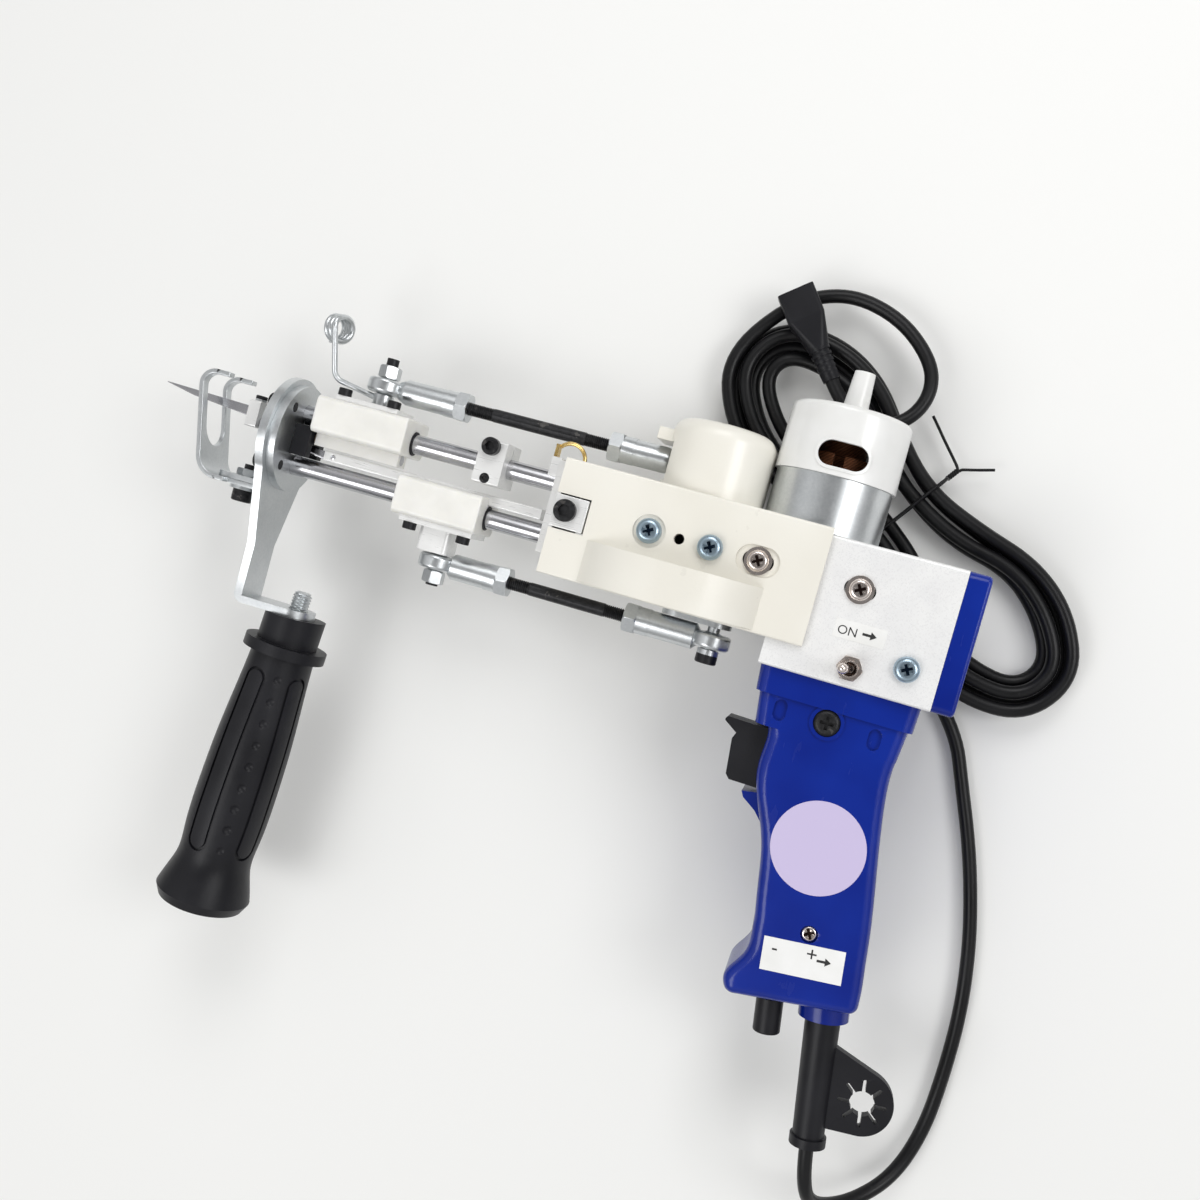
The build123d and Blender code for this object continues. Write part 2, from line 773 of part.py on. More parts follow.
def foot_solid():
    outer = foot_outline(0)
    inner = foot_outline(foot_thick)
    outer = [outer, inner, Line(outer @ 0, inner @ 0), Line(outer @ 1, inner @ 1)]
    face = make_face(outer)
    foot = extrude(face, foot_half, both=True)
    foot -= along_x(foot_front_x - cut_over, foot_bend_x, foot_notch_y, 0, foot_notch_half)
    foot -= block(foot_front_x - cut_over, foot_bend_x + cut_over, foot_notch_y, foot_hook_y + cut_over,
                  -foot_notch_half, foot_notch_half)
    for side in (-1, 1):
        near, far = sorted((side * foot_strip_half, side * (foot_half + cut_over)))
        foot -= block(foot_bend_x, foot_rear + cut_over, foot_low - cut_over, foot_high + cut_over, near, far)
    slot = block(foot_screw_x, foot_screw_x + foot_travel, foot_low - cut_over, foot_high + cut_over,
                 -foot_slot_r, foot_slot_r)
    slot += along_y(foot_low - cut_over, foot_high + cut_over, foot_screw_x, 0, foot_slot_r)
    slot += along_y(foot_low - cut_over, foot_high + cut_over, foot_screw_x + foot_travel, 0, foot_slot_r)
    return foot - slot


# Black screws at the front, and the screw, washer and nut that hold the presser foot
foot_washer_thick = 1.4


def front_screws():
    group = []
    for y, z in disc_screw_places():
        screw = socket_screw(small_head_r, small_head_h, small_shank_r, bracket_thick + disc_thick)
        group.append(aim(screw, (bracket_front, y, z), (-1, 0, 0)))
    head_y = foot_low - foot_gap - foot_washer_thick
    screw = socket_screw(cap_head_r, cap_head_h, small_shank_r, lug_high - head_y + cap_head_h)
    group.append(aim(screw, (foot_screw_x, head_y, 0), (0, -1, 0)))
    return group


def foot_fasteners():
    ring = washer(washer_r, small_shank_r + screw_fit, foot_washer_thick)
    nut = hex_nut(nut_across, nut_thick / 2, small_shank_r + press_fit)
    low = aim(ring, (foot_screw_x, foot_low - foot_gap, 0), (0, -1, 0))
    return [low, aim(nut, (foot_screw_x, lug_high, 0), (0, 1, 0))]


# Sliders: a nylon block with a black bush that runs on its rod
plate_thick = 2.0
plate_half = 8.0
m3_head_r = 2.75
m3_head_h = 3.0
m3_shank_r = 1.5
m3_deep = 6.0
m3_z = 9.0
needle_lug_low = 0.6
needle_lug_half = 4.5
pivot_r = 2.5
pivot_gap = 0.15
pivot_nut_across = 8.0
pivot_nut_thick = 5.0
needle_plate_front = -156.0
needle_plate_rear = -129.0
needle_plate_screws = [-153.3, -131.8]
blade_plate_front = -117.0
blade_plate_rear = -86.0
blade_plate_screws = [-112.5, -89.5]
blade_spacer_front = -109.0
blade_spacer_rear = -95.6
blade_spacer_half = 7.0
needle_spacer_r = 4.2
spacer_flat_deep = 0.6
spacer_flat_x = needle_eye_x - needle_spacer_r + spacer_flat_deep
pivot_top = 42.7


def slider_block(front, rear, low, high, half, rod_y):
    body = rounded(block(front, rear, low, high, -half, half), slider_corner, Axis.X)
    body = fillet(body.edges().group_by(Axis.X)[-1] + body.edges().group_by(Axis.X)[0], house_edge)
    return body - along_x(front - cut_over, rear + cut_over, rod_y, 0, bush_r + press_fit)


def slider_bush(front, rear, rod_y):
    bush = along_x(front, rear + bush_stand, rod_y, 0, bush_r)
    return bush - along_x(front - cut_over, rear + bush_stand + cut_over, rod_y, 0, rod_r + run_fit)


def needle_slider_solid():
    body = slider_block(needle_slider_front, needle_slider_rear, needle_slider_low, needle_slider_high,
                        needle_slider_half, upper_rod_y)
    for x in needle_plate_screws:
        body -= along_y(needle_slider_high - m3_deep, needle_slider_high + cut_over, x, m3_z,
                        m3_shank_r + screw_fit)
    body += block(needle_slider_front, needle_bar_rear, needle_lug_low, needle_slider_low, -needle_lug_half,
                  needle_lug_half)
    return body - needle_bar_tool()


def needle_bar_tool():
    return along_x(needle_bar_front, needle_bar_rear, needle_bar_y, 0, needle_bar_r)


needle_bar_front = -195.0
needle_bar_rear = -126.0


def needle_plate_solid():
    high = needle_slider_high + plate_thick
    body = block(needle_plate_front, needle_plate_rear, needle_slider_high, high, -plate_half,
                 m3_z + plate_thick)
    for x in needle_plate_screws:
        body -= along_y(needle_slider_high - cut_over, high + cut_over, x, m3_z, m3_shank_r + screw_fit)
    return body


def needle_fasteners():
    high = needle_slider_high + plate_thick
    screw = socket_screw(m3_head_r, m3_head_h, m3_shank_r, m3_deep)
    return [aim(screw, (x, high, m3_z), (0, 1, 0)) for x in needle_plate_screws]


def needle_pivot_solids():
    high = needle_slider_high + plate_thick
    ball_low = needle_push_y - ball_half - pivot_gap
    ball_high = needle_push_y + ball_half + pivot_gap
    bolt = along_y(high, pivot_top, needle_eye_x, 0, pivot_r)
    spacer = along_y(high, ball_low, needle_eye_x, 0, needle_spacer_r)
    bolt += spacer - block(spacer_flat_x - needle_spacer_r, spacer_flat_x, high - cut_over,
                           ball_low + cut_over,
                           -needle_spacer_r, needle_spacer_r)
    nut = hex_nut(pivot_nut_across, pivot_nut_thick, pivot_r + press_fit)
    return [bolt, aim(nut, (needle_eye_x, ball_high, 0), (0, 1, 0))]


def blade_slider_solid():
    body = slider_block(blade_slider_front, blade_slider_rear, blade_slider_low, blade_slider_high,
                        blade_slider_half, lower_rod_y)
    for x in blade_plate_screws:
        body -= along_y(blade_slider_low - cut_over, blade_slider_low + m3_deep, x, m3_z,
                        m3_shank_r + screw_fit)
    return body - block(blade_slider_front - cut_over, blade_slider_rear + cut_over, blade_bar_low,
                        blade_slider_high + cut_over, -blade_bar_half, blade_bar_half)


def blade_plate_solids():
    low = blade_slider_low - plate_thick
    body = block(blade_plate_front, blade_plate_rear, low, blade_slider_low, -plate_half, m3_z + plate_thick)
    for x in blade_plate_screws:
        body -= along_y(low - cut_over, blade_slider_low + cut_over, x, m3_z, m3_shank_r + screw_fit)
    spacer_low = blade_push_y + ball_half + pivot_gap
    spacer = block(blade_spacer_front, blade_spacer_rear, spacer_low, low, -blade_spacer_half,
                   blade_spacer_half)
    spacer = fillet(spacer.edges().filter_by(Axis.Y), slider_corner)
    spacer -= along_y(spacer_low - cut_over, low + cut_over, blade_eye_x, 0, pivot_r + screw_fit)
    return Compound(children=[body, spacer])


def blade_fasteners():
    low = blade_slider_low - plate_thick
    screw = socket_screw(m3_head_r, m3_head_h, m3_shank_r, m3_deep)
    return [aim(screw, (x, low, m3_z), (0, -1, 0)) for x in blade_plate_screws]


def blade_pivot_solids():
    low = blade_slider_low - plate_thick
    ball_low = blade_push_y - ball_half - pivot_gap
    nut_low = ball_low - pivot_nut_thick
    bolt = along_y(nut_low - cut_over, low, blade_eye_x, 0, pivot_r)
    nut = hex_nut(pivot_nut_across, pivot_nut_thick, pivot_r + press_fit)
    return [bolt, aim(nut, (blade_eye_x, ball_low, 0), (0, -1, 0))]


# Push rods: a threaded rod between two rod ends, locked by two nuts
def rod_end(eye_x, shank_x, nut_x, y):
    turn = 1 if nut_x > eye_x else -1
    ring = along_y(y - eye_thick / 2, y + eye_thick / 2, eye_x, 0, eye_r)
    ring = fillet(ring.edges(), eye_thick / 4)
    neck_x = eye_x + turn * ball_r
    cone = Pos((neck_x + shank_x) / 2, y, 0) * Rot(0, 90 * turn, 0) * Cone(neck_r, shank_r,
                                                                           abs(shank_x - neck_x))
    shank = along_x(*sorted((shank_x, nut_x)), y, 0, shank_r)
    sleeve = along_x(*sorted((nut_x - turn * sleeve_length, nut_x)), y, 0, sleeve_r)
    body = ring + cone + shank + sleeve
    body -= Pos(eye_x, y, 0) * Sphere(ball_r + run_fit)
    return body - along_x(*sorted((nut_x - turn * thread_seat, nut_x + turn * cut_over)), y, 0,
                          thread_r + screw_fit)


def rod_ball(eye_x, y):
    ball = Sphere(ball_r) & block(-ball_r, ball_r, -ball_half, ball_half, -ball_r, ball_r)
    return Pos(eye_x, y, 0) * ball - along_y(y - ball_r, y + ball_r, eye_x, 0, eye_hole_r + run_fit)


def push_rod(front_nut, rear_nut, y):
    front = front_nut - rod_nut_thick - thread_seat
    rear = rear_nut + rod_nut_thick + thread_seat
    return along_x(front, rear, y, 0, thread_r)


def push_rod_ends(front_eye, front_shank, front_nut, rear_nut, rear_shank, rear_eye, y):
    front = rod_end(front_eye, front_shank, front_nut - rod_nut_thick, y)
    rear = rod_end(rear_eye, rear_shank, rear_nut + rod_nut_thick, y)
    return [front, rod_ball(front_eye, y), rear, rod_ball(rear_eye, y)]


def push_rod_nuts(front_nut, rear_nut, y):
    nut = hex_nut(rod_nut_across, rod_nut_thick, thread_r + press_fit)
    return [aim(nut, (front_nut, y, 0), (-1, 0, 0)), aim(nut, (rear_nut, y, 0), (1, 0, 0))]


# The bolt of each rear eye rides with its rod and ends just short of the crank
crank_bolt_head_r = 4.25
crank_bolt_head_h = 5.5


def crank_bolt(eye_x, y, crank_face, toward):
    reach = abs(y - crank_face) + ball_half + pivot_gap - open_gap
    bolt = socket_screw(crank_bolt_head_r, crank_bolt_head_h, pivot_r, reach)
    return aim(bolt, (eye_x, y + toward * (ball_half + pivot_gap), 0), (0, toward, 0))


# Needle: a flat hollow point in a holder on the front of the needle bar
holder_rear = -190.0
holder_low = 0.9
holder_high = 12.0
holder_half = 4.6
needle_base_low = 5.0
needle_base_high = 9.3
needle_shoulder_x = -222.0
needle_shoulder_low = 7.3
needle_tip_x = -235.4
needle_tip_y = 9.9
needle_tip_high = 10.2
needle_half = 1.5
holder_screw_x = -192.5
holder_screw_r = 1.5
holder_head_r = 2.4
holder_head_h = 2.4


def needle_solid():
    outline = [(needle_bar_front, needle_base_low), (needle_bar_front, needle_base_high),
               (needle_tip_x, needle_tip_high), (needle_tip_x, needle_tip_y),
               (needle_shoulder_x, needle_shoulder_low)]
    blade = plate(outline, -needle_half, needle_half)
    root = block(needle_bar_front, holder_rear - cut_over, needle_base_low, needle_base_high,
                 -needle_half, needle_half)
    return blade + root


def needle_bar_solid():
    return along_x(needle_bar_front, needle_bar_rear, needle_bar_y, 0, needle_bar_r) - needle_solid()


def needle_holder_solid():
    body = block(needle_bar_front, holder_rear, holder_low, holder_high, -holder_half, holder_half)
    body = fillet(body.edges().filter_by(Axis.X), house_edge)
    body -= needle_bar_tool()
    body -= needle_solid()
    return body - along_y(needle_base_high, holder_high + cut_over, holder_screw_x, 0,
                          holder_screw_r + screw_fit)


def holder_screw_solid():
    screw = socket_screw(holder_head_r, holder_head_h, holder_screw_r,
                         holder_high - needle_base_high - open_gap)
    return aim(screw, (holder_screw_x, holder_high, 0), (0, 1, 0))


# Two arcs that leave one point and reach the next with the tangents given
straight_share = 0.000001


def biarc(start, start_way, end, end_way):
    reach = end - start
    both = start_way + end_way
    bend = 2 * (1 - start_way.dot(end_way))
    if bend < straight_share:
        span = reach.dot(reach) / (2 * reach.dot(both))
    else:
        along = reach.dot(both)
        span = (-along + math.sqrt(along * along + bend * reach.dot(reach))) / bend
    middle = (start + end + (start_way - end_way) * span) / 2
    way = ((end - end_way * span) - (start + start_way * span)).normalized()
    return [arc_from(start, start_way, middle), arc_from(middle, way, end)]


def arc_from(start, way, end):
    if (end - start).normalized().dot(way) > 1 - straight_share / 2:
        return Line(start, end)
    return TangentArc(start, end, tangent=way)


# Wire yarn guide: out of the plate, forward, up and round in three turns
wire_r = 1.2
guide_rise = 2.0
guide_low_y = needle_slider_high + plate_thick + wire_r + guide_rise
guide_corner_x = -163.5
guide_corner_y = 29.3
guide_z = 0.0
guide_eye_x = -164.7
guide_eye_y = 49.4
guide_eye_r = 5.0
guide_eye_turns = 3
guide_eye_pitch = 2.7
guide_eye_turn = 62.0
guide_corner_r = 5.0


def yarn_guide_solid():
    start = Vector(spacer_flat_x, guide_low_y, guide_z)
    corner = Vector(guide_corner_x, guide_corner_y, guide_z)
    middle = Vector(guide_eye_x, guide_eye_y, guide_z)
    points = []
    ways = []
    quarter = guide_eye_pitch / 4
    climb = quarter / (guide_eye_r * math.pi / 2)
    for step in range(4 * guide_eye_turns):
        angle = math.pi - step * math.pi / 2
        place = Vector(guide_eye_r * math.cos(angle), guide_eye_r * math.sin(angle), -step * quarter)
        points.append(middle + place.rotate(Axis.Y, guide_eye_turn))
        ways.append(Vector(math.sin(angle), -math.cos(angle), -climb).normalized().rotate(Axis.Y, guide_eye_turn))
    lead = FilletPolyline(start, corner, points[0], radius=guide_corner_r)
    way = (points[0] - corner).normalized()
    edges = list(lead.edges())
    ways[0] = way
    for step in range(len(points) - 1):
        edges += [arc.edge() for arc in biarc(points[step], ways[step], points[step + 1], ways[step + 1])]
    path = Wire(edges)
    return sweep(Plane(origin=start, z_dir=(corner - start)) * Circle(wire_r), path=path)


# Blade bar with its pair of scissor blades
blade_bar_front = -158.0
blade_bar_rear = -63.0
blade_slot_x = -150.0
blade_front = -176.0
blade_thick = 1.4
blade_low = -4.2
blade_high = -0.6
blade_tip_y = -1.4
blade_pin_x = -154.0
blade_pin_y = -2.5
blade_pin_r = 1.0
bar_edge = 0.5


def blade_bar_solid():
    bar = block(blade_bar_front, blade_bar_rear, blade_bar_low, blade_bar_high, -blade_bar_half,
                blade_bar_half)
    bar = chamfer(bar.edges().filter_by(Axis.X), bar_edge)
    bar -= block(blade_bar_front - cut_over, blade_slot_x, blade_bar_low - cut_over,
                 blade_bar_high + cut_over,
                 -blade_thick, blade_thick)
    return bar - along_z(-2 * blade_bar_half, 2 * blade_bar_half, blade_pin_x, blade_pin_y,
                         blade_pin_r + press_fit)


def blade_solids():
    outline = [(blade_slot_x, blade_low), (blade_front, blade_tip_y), (blade_bar_front, blade_high),
               (blade_slot_x, blade_high)]
    near = plate(outline, 0, blade_thick)
    flipped = [(blade_slot_x, blade_high), (blade_front, blade_low + (blade_high - blade_tip_y)),
               (blade_bar_front, blade_low), (blade_slot_x, blade_low)]
    far = plate(flipped, -blade_thick, 0)
    hole = along_z(-2 * blade_thick, 2 * blade_thick, blade_pin_x, blade_pin_y, blade_pin_r + press_fit)
    pin = along_z(-blade_bar_half, blade_bar_half, blade_pin_x, blade_pin_y, blade_pin_r)
    return Compound(children=[near - hole, far - hole, pin])


# Side handle, turned about an axis that leans a little forward
handle_round = 4.0
handle_side = [(17.0, 13.0), (33.0, 14.0), (52.0, 15.4), (76.0, 16.2), (98.0, 15.7), (108.0, 15.4),
               (115.0, 17.2), (123.0, 19.6)]
handle_spin = 28.0
dimple_r = 2.6
dimple_count = 9
dimple_first = 26.2
dimple_pitch = 9.2
dimple_deep = 0.7
groove_turn = 40.0
groove_half = 4.8
groove_width = 1.2
groove_start = 23.5
groove_end = 103.0
groove_deep = 1.0


def handle_turning(inset):
    neck = handle_neck
    flange = neck + handle_flange
    top_r = handle_neck_r
    rows = [(radius - inset, -depth) for depth, radius in handle_side]
    upper = Polyline((0, 0), (top_r, 0), (top_r, -neck), (handle_flange_r, -neck), (handle_flange_r, -flange), rows[0])
    lower = Polyline(rows[-1], (handle_end_r - handle_round / 2, -handle_length), (0, -handle_length), (0, 0))
    return revolve(make_face([upper, Spline(*rows), lower]), Axis.Y)


def groove_prism(half, top, bottom, turn):
    low, high = sorted((0, turn * 2 * handle_end_r))
    tool = block(-half, half, -bottom + half, -top - half, low, high)
    return tool + along_z(low, high, 0, -top - half, half) + along_z(low, high, 0, -bottom + half, half)


def handle_place():
    return Pos(handle_x, handle_top, 0) * Rot(0, 0, -handle_tilt)


def handle_solid():
    body = handle_turning(0)
    core = handle_turning(groove_deep)
    for turn in (-1, 1):
        ring = groove_prism(groove_half, groove_start, groove_end, turn)
        ring -= groove_prism(groove_half - groove_width, groove_start + groove_width,
                             groove_end - groove_width, turn)
        for side in (-1, 1):
            body -= Rot(0, side * groove_turn, 0) * ring - core
        for step in range(dimple_count):
            y = -(dimple_first + step * dimple_pitch)
            height = handle_radius_at(-y) - dimple_deep + dimple_r
            body -= Pos(0, y, turn * height) * Sphere(dimple_r)
    body = Rot(0, handle_spin, 0) * body
    body = handle_place() * (body - along_y(-stud_depth, cut_over, 0, 0, stud_r + press_fit))
    reach = 2 * handle_end_r
    return body - block(handle_x - reach, handle_x + reach, flange_y, 0, -reach, reach)


# Radius of the handle's side at a distance from its top
def handle_radius_at(depth):
    for (high, high_r), (low, low_r) in zip(handle_side, handle_side[1:]):
        if depth <= low:
            return high_r + (low_r - high_r) * (depth - high) / (low - high)
    return handle_end_r


def stud_solid():
    stud = Cylinder(stud_r, stud_rise + stud_depth)
    stud = chamfer(stud.edges(), stud_r / 6)
    return handle_place() * Pos(0, (stud_rise - stud_depth) / 2, 0) * Rot(90, 0, 0) * stud


# Grip: two shells of one smooth form, cut off square to its rake at the bottom
grip_half = 19.0
grip_head_half = 20.5
grip_wall = 2.5
grip_corner = 4.5
grip_rake = 8.5
grip_head = [(33.6, 36.8, 96.9), (43.5, 37.6, 96.4)]
grip_shoulder = [(43.5, 39.0, 94.9), (55.5, 40.5, 93.7)]
grip_sections = [(55.5, 45.5, 93.6), (66.0, 46.0, 93.5), (80.0, 47.8, 95.3), (94.0, 53.4, 97.7),
                 (110.0, 57.2, 100.6), (126.0, 59.9, 102.9), (136.0, 60.6, 104.2), (142.0, 58.6, 104.8),
                 (146.5, 55.8, 105.0), (151.0, 54.9, 105.3), (164.0, 54.9, 106.5)]
grip_guard = [(50.0, -81.6), (42.4, -82.8), (43.6, -85.0), (49.0, -88.6), (54.0, -94.0), (62.0, -94.0),
              (62.0, -81.6)]
grip_guard_half = 9.0
grip_foot_round = 3.5
grip_bottom_x = 60.7
grip_bottom_y = -155.2


def raked(shape, x, y):
    angle = math.radians(grip_rake)
    return aim(shape, (x, y, 0), (math.sin(angle), -math.cos(angle), 0))


def grip_section(depth, front, rear, half, inset):
    wide = rear - front - 2 * inset
    plane = Plane(origin=((front + rear) / 2, -depth, 0), x_dir=(1, 0, 0), z_dir=(0, -1, 0))
    return plane * RectangleRounded(wide, 2 * (half - inset), max(grip_corner - inset, grip_corner / 2))


def grip_form(inset):
    head = loft([grip_section(*row, grip_head_half, inset) for row in grip_head], ruled=True)
    shoulder = loft([grip_section(*row, grip_half, inset) for row in grip_shoulder], ruled=True)
    lower = loft([grip_section(*row, grip_half, inset) for row in grip_sections])
    return head + shoulder + lower


grip_oblong_places = [(48.3, -48.5), (83.8, -49.3)]
grip_oblong_r = 2.4
grip_oblong_half = 1.6
grip_oblong_deep = 1.6
grip_screw_places = [(65.9, -48.2), (80.7, -124.7)]
grip_screw_r = 1.5
grip_screw_head_rs = [5.0, 3.2]
grip_screw_head_hs = [3.0, 2.2]
grip_screw_sinks = [1.0, 2.8]
grip_boss_r = 5.0
grip_top_boss_r = 6.4
grip_top_boss_rise = 0.8
grip_nut_deep = 8.0
trigger_low = -80.6
trigger_high = -57.2
trigger_half = 7.0
trigger_rear = 51.0
trigger_travel = 6.0
collar_r = 9.6
collar_long = 7.5
collar_x = 93.8
sleeve_top_r = 6.75
sleeve_low_r = 6.0
sleeve_rim_r = 7.0
sleeve_rim = 3.5
sleeve_long = 61.0
sleeve_inside = 12.0
knob_x = 73.4
knob_r = 5.25
knob_long = 13.5
knob_gap = 3.6
knob_edge = 0.8
pot_r = 8.0
pot_long = 8.0
pot_bush_r = 3.5
pot_shaft_r = 3.0
pot_nut_across = 10.0
pot_nut_thick = 2.4
pot_shaft_long = 9.0


collar_y = grip_bottom_y + (collar_x - grip_bottom_x) * math.tan(math.radians(grip_rake))
knob_y = grip_bottom_y + (knob_x - grip_bottom_x) * math.tan(math.radians(grip_rake))


def below_floor(rise):
    thick = 2 * grip_head_half
    return raked(Pos(0, 0, thick / 2 - rise) * Box(4 * knob_x, 4 * knob_x, thick), grip_bottom_x,
                 grip_bottom_y)


def grip_solid():
    body = grip_form(0) + plate(grip_guard, -grip_guard_half, grip_guard_half)
    body -= below_floor(0)
    floor = body.faces().sort_by(Axis.Y)[0]
    body = fillet(floor.edges(), grip_foot_round)
    body += raked(Pos(0, 0, (collar_long - grip_foot_round) / 2) * Cylinder(collar_r, collar_long + grip_foot_round),
                  collar_x, collar_y)
    ceiling = block(0, 2 * knob_x, -box_bottom - grip_wall, 0, -grip_head_half, grip_head_half)
    body -= grip_form(grip_wall) - below_floor(grip_wall) - ceiling
    for boss in grip_bosses():
        body += boss
    body -= block(0, trigger_rear + trigger_travel + grip_wall, trigger_low - open_gap,
                  trigger_high + open_gap,
                  -trigger_half - open_gap, trigger_half + open_gap)
    body -= raked(Cylinder(sleeve_top_r + press_fit, 4 * collar_long), collar_x, collar_y)
    body -= raked(Cylinder(pot_bush_r + press_fit, 4 * grip_wall), knob_x, knob_y)
    body -= along_y(-box_bottom - 2 * grip_wall, 0, wire_hole_x, 0, wire_hole_r)
    for x, y in grip_oblong_places:
        top = grip_head_half if y > -grip_head[1][0] else grip_half
        for side in (-1, 1):
            tool = block(x - grip_oblong_r, x + grip_oblong_r, y - grip_oblong_half, y + grip_oblong_half,
                         *sorted((side * (top - grip_oblong_deep), side * (top + cut_over))))
            tool += along_z(*sorted((side * (top - grip_oblong_deep), side * (top + cut_over))), x,
                            y + grip_oblong_half, grip_oblong_r)
            tool += along_z(*sorted((side * (top - grip_oblong_deep), side * (top + cut_over))), x,
                            y - grip_oblong_half, grip_oblong_r)
            body -= tool
    for (x, y), head_r, sink in zip(grip_screw_places, grip_screw_head_rs, grip_screw_sinks):
        body -= along_z(grip_half - sink, 2 * grip_half, x, y, head_r + screw_fit)
        body -= along_z(-grip_nut_deep, grip_half, x, y, grip_screw_r + screw_fit)
    return body


def grip_bosses():
    bosses = []
    for x, y in grip_screw_places:
        boss = along_z(-grip_half + grip_wall / 2, grip_half - grip_wall / 2, x, y, grip_boss_r)
        bosses.append(boss)
    x, y = grip_screw_places[0]
    bosses.append(along_z(grip_half - grip_wall, grip_half + grip_top_boss_rise, x, y, grip_top_boss_r))
    middle = (switch_low + switch_high) / 2
    for side in (-1, 1):
        near, far = sorted((side * switch_half, side * (grip_half - grip_wall / 2)))
        bosses.append(block(switch_left + switch_post, switch_left + switch_long - switch_post,
                            middle - switch_post, middle + switch_post, near, far))
    return bosses


def grip_screws():
    screws = []
    for place, head_r, head_h, sink in zip(grip_screw_places, grip_screw_head_rs, grip_screw_head_hs,
                                           grip_screw_sinks):
        screw = phillips_screw(head_r, head_h, grip_screw_r, grip_half)
        screws.append(aim(screw, (*place, grip_half - sink), (0, 0, 1)))
    return screws


# Trigger that slides into the grip, and the switch behind it
trigger_outline = [(40.2, -57.6), (29.8, -57.3), (28.7, -58.8), (34.4, -62.6), (33.4, -65.0), (34.8, -78.6),
                   (36.4, -80.4)]
switch_left = trigger_rear + trigger_travel + open_gap
switch_long = 20.0
switch_half = 8.0
switch_post = 5.0
switch_low = -77.0
switch_high = -60.0


def trigger_solid():
    outline = trigger_outline + [(trigger_rear, trigger_low), (trigger_rear, trigger_high)]
    body = plate(outline, -trigger_half, trigger_half)
    return fillet(body.edges().filter_by(Axis.Z).group_by(Axis.X)[0:3][0], house_edge)


def switch_solid():
    return block(switch_left, switch_left + switch_long, switch_low, switch_high, -switch_half, switch_half)


# Speed control in the heel of the grip, with its knob below
def speed_control_solids():
    pot = Pos(0, 0, -grip_wall - pot_long / 2) * Cylinder(pot_r, pot_long)
    pot += Cylinder(pot_bush_r, 2 * (pot_nut_thick + cut_over))
    pot += Pos(0, 0, pot_nut_thick + pot_shaft_long / 2) * Cylinder(pot_shaft_r, pot_shaft_long)
    nut = hex_nut(pot_nut_across, pot_nut_thick, pot_bush_r + press_fit)
    return [raked(pot, knob_x, knob_y), raked(nut, knob_x, knob_y)]


def knob_solid():
    knob = Pos(0, 0, knob_long / 2) * Cylinder(knob_r, knob_long)
    knob = fillet(knob.edges().group_by(Axis.Z)[-1], knob_edge)
    knob -= Cylinder(pot_shaft_r + run_fit, 2 * (pot_nut_thick + pot_shaft_long - knob_gap + open_gap))
    return raked(Pos(0, 0, knob_gap) * knob, knob_x, knob_y)


# Cord sleeve with a tab to hang the machine by
tab_x = 116.6
tab_y = -184.0
tab_r = 12.4
tab_half = 2.2
tab_root_high = (99.4, -165.8)
tab_root_low = (102.0, -198.1)
star_x = 117.2
star_y = -183.9
star_hub_r = 4.7
star_reach = 9.1
star_slot_half = 0.65
star_slots = 8
star_turn = 7.0


# A round hole with narrow slots all round, in a tab that runs to a point on each side of the sleeve
def star_face():
    star = Circle(star_hub_r)
    for slot in range(star_slots):
        turn = Rot(0, 0, star_turn + 360 * slot / star_slots)
        star += turn * Pos(star_reach / 2, 0, 0) * SlotOverall(star_reach, 2 * star_slot_half)
    return star


def tab_face():
    rim = Pos(tab_x, tab_y, 0) * Circle(tab_r)
    return make_hull(rim.edges() + [Line(tab_root_high, tab_root_low).edge()])


def sleeve_end():
    angle = math.radians(grip_rake)
    down = collar_long + sleeve_long - sleeve_inside
    return collar_x + down * math.sin(angle), collar_y - down * math.cos(angle)


def sleeve_solid():
    outside = collar_long + sleeve_long - sleeve_inside
    plain = Pos(0, 0, (collar_long - sleeve_inside) / 2) * Cylinder(sleeve_top_r, collar_long + sleeve_inside)
    long = outside - collar_long
    taper = Pos(0, 0, collar_long + long / 2) * Cone(sleeve_top_r, sleeve_low_r, long)
    rim = Pos(0, 0, outside - sleeve_rim / 2) * Cylinder(sleeve_rim_r, sleeve_rim)
    body = raked(plain + taper + rim, collar_x, collar_y)
    body += extrude(tab_face(), tab_half, both=True)
    return body - Pos(star_x, star_y, 0) * extrude(star_face(), 2 * tab_half, both=True)


# Labels and the round sticker
label_thick = 0.15
on_label_low = -16.7
on_label_high = -9.7
speed_label_x = 81.0
speed_label_y = -134.6
speed_label_long = 30.0
speed_label_wide = 12.5
speed_label_turn = 6.5
sticker_x = 75.3
sticker_y = -93.3
sticker_r = 17.5


def label_solids():
    on = block(label_x[0], label_x[1], on_label_low, on_label_high, box_half, box_half + label_thick)
    speed = Pos(speed_label_x, speed_label_y, grip_half + label_thick / 2) * Rot(0, 0, speed_label_turn)
    return [on, speed * Box(speed_label_long, speed_label_wide, label_thick)]


def sticker_solid():
    return along_z(grip_half, grip_half + label_thick, sticker_x, sticker_y, sticker_r)


# Toggle switch on the box: body inside, bush through the wall, lever outside
lever_turn = -lever_swing / 2


def toggle_body_solid():
    back = box_half - box_wall
    body = block(toggle_x - toggle_body_long / 2, toggle_x + toggle_body_long / 2,
                 toggle_y - toggle_body_wide / 2, toggle_y + toggle_body_wide / 2, back - toggle_body_deep, back)
    body += along_z(back, box_half + toggle_bush_rise, toggle_x, toggle_y, toggle_bush_r)
    well = Pos(0, 0, -lever_well_deep / 2) * Cone(lever_r + open_gap, lever_well_r, lever_well_deep)
    return body - Pos(toggle_x, toggle_y, box_half + toggle_bush_rise) * well


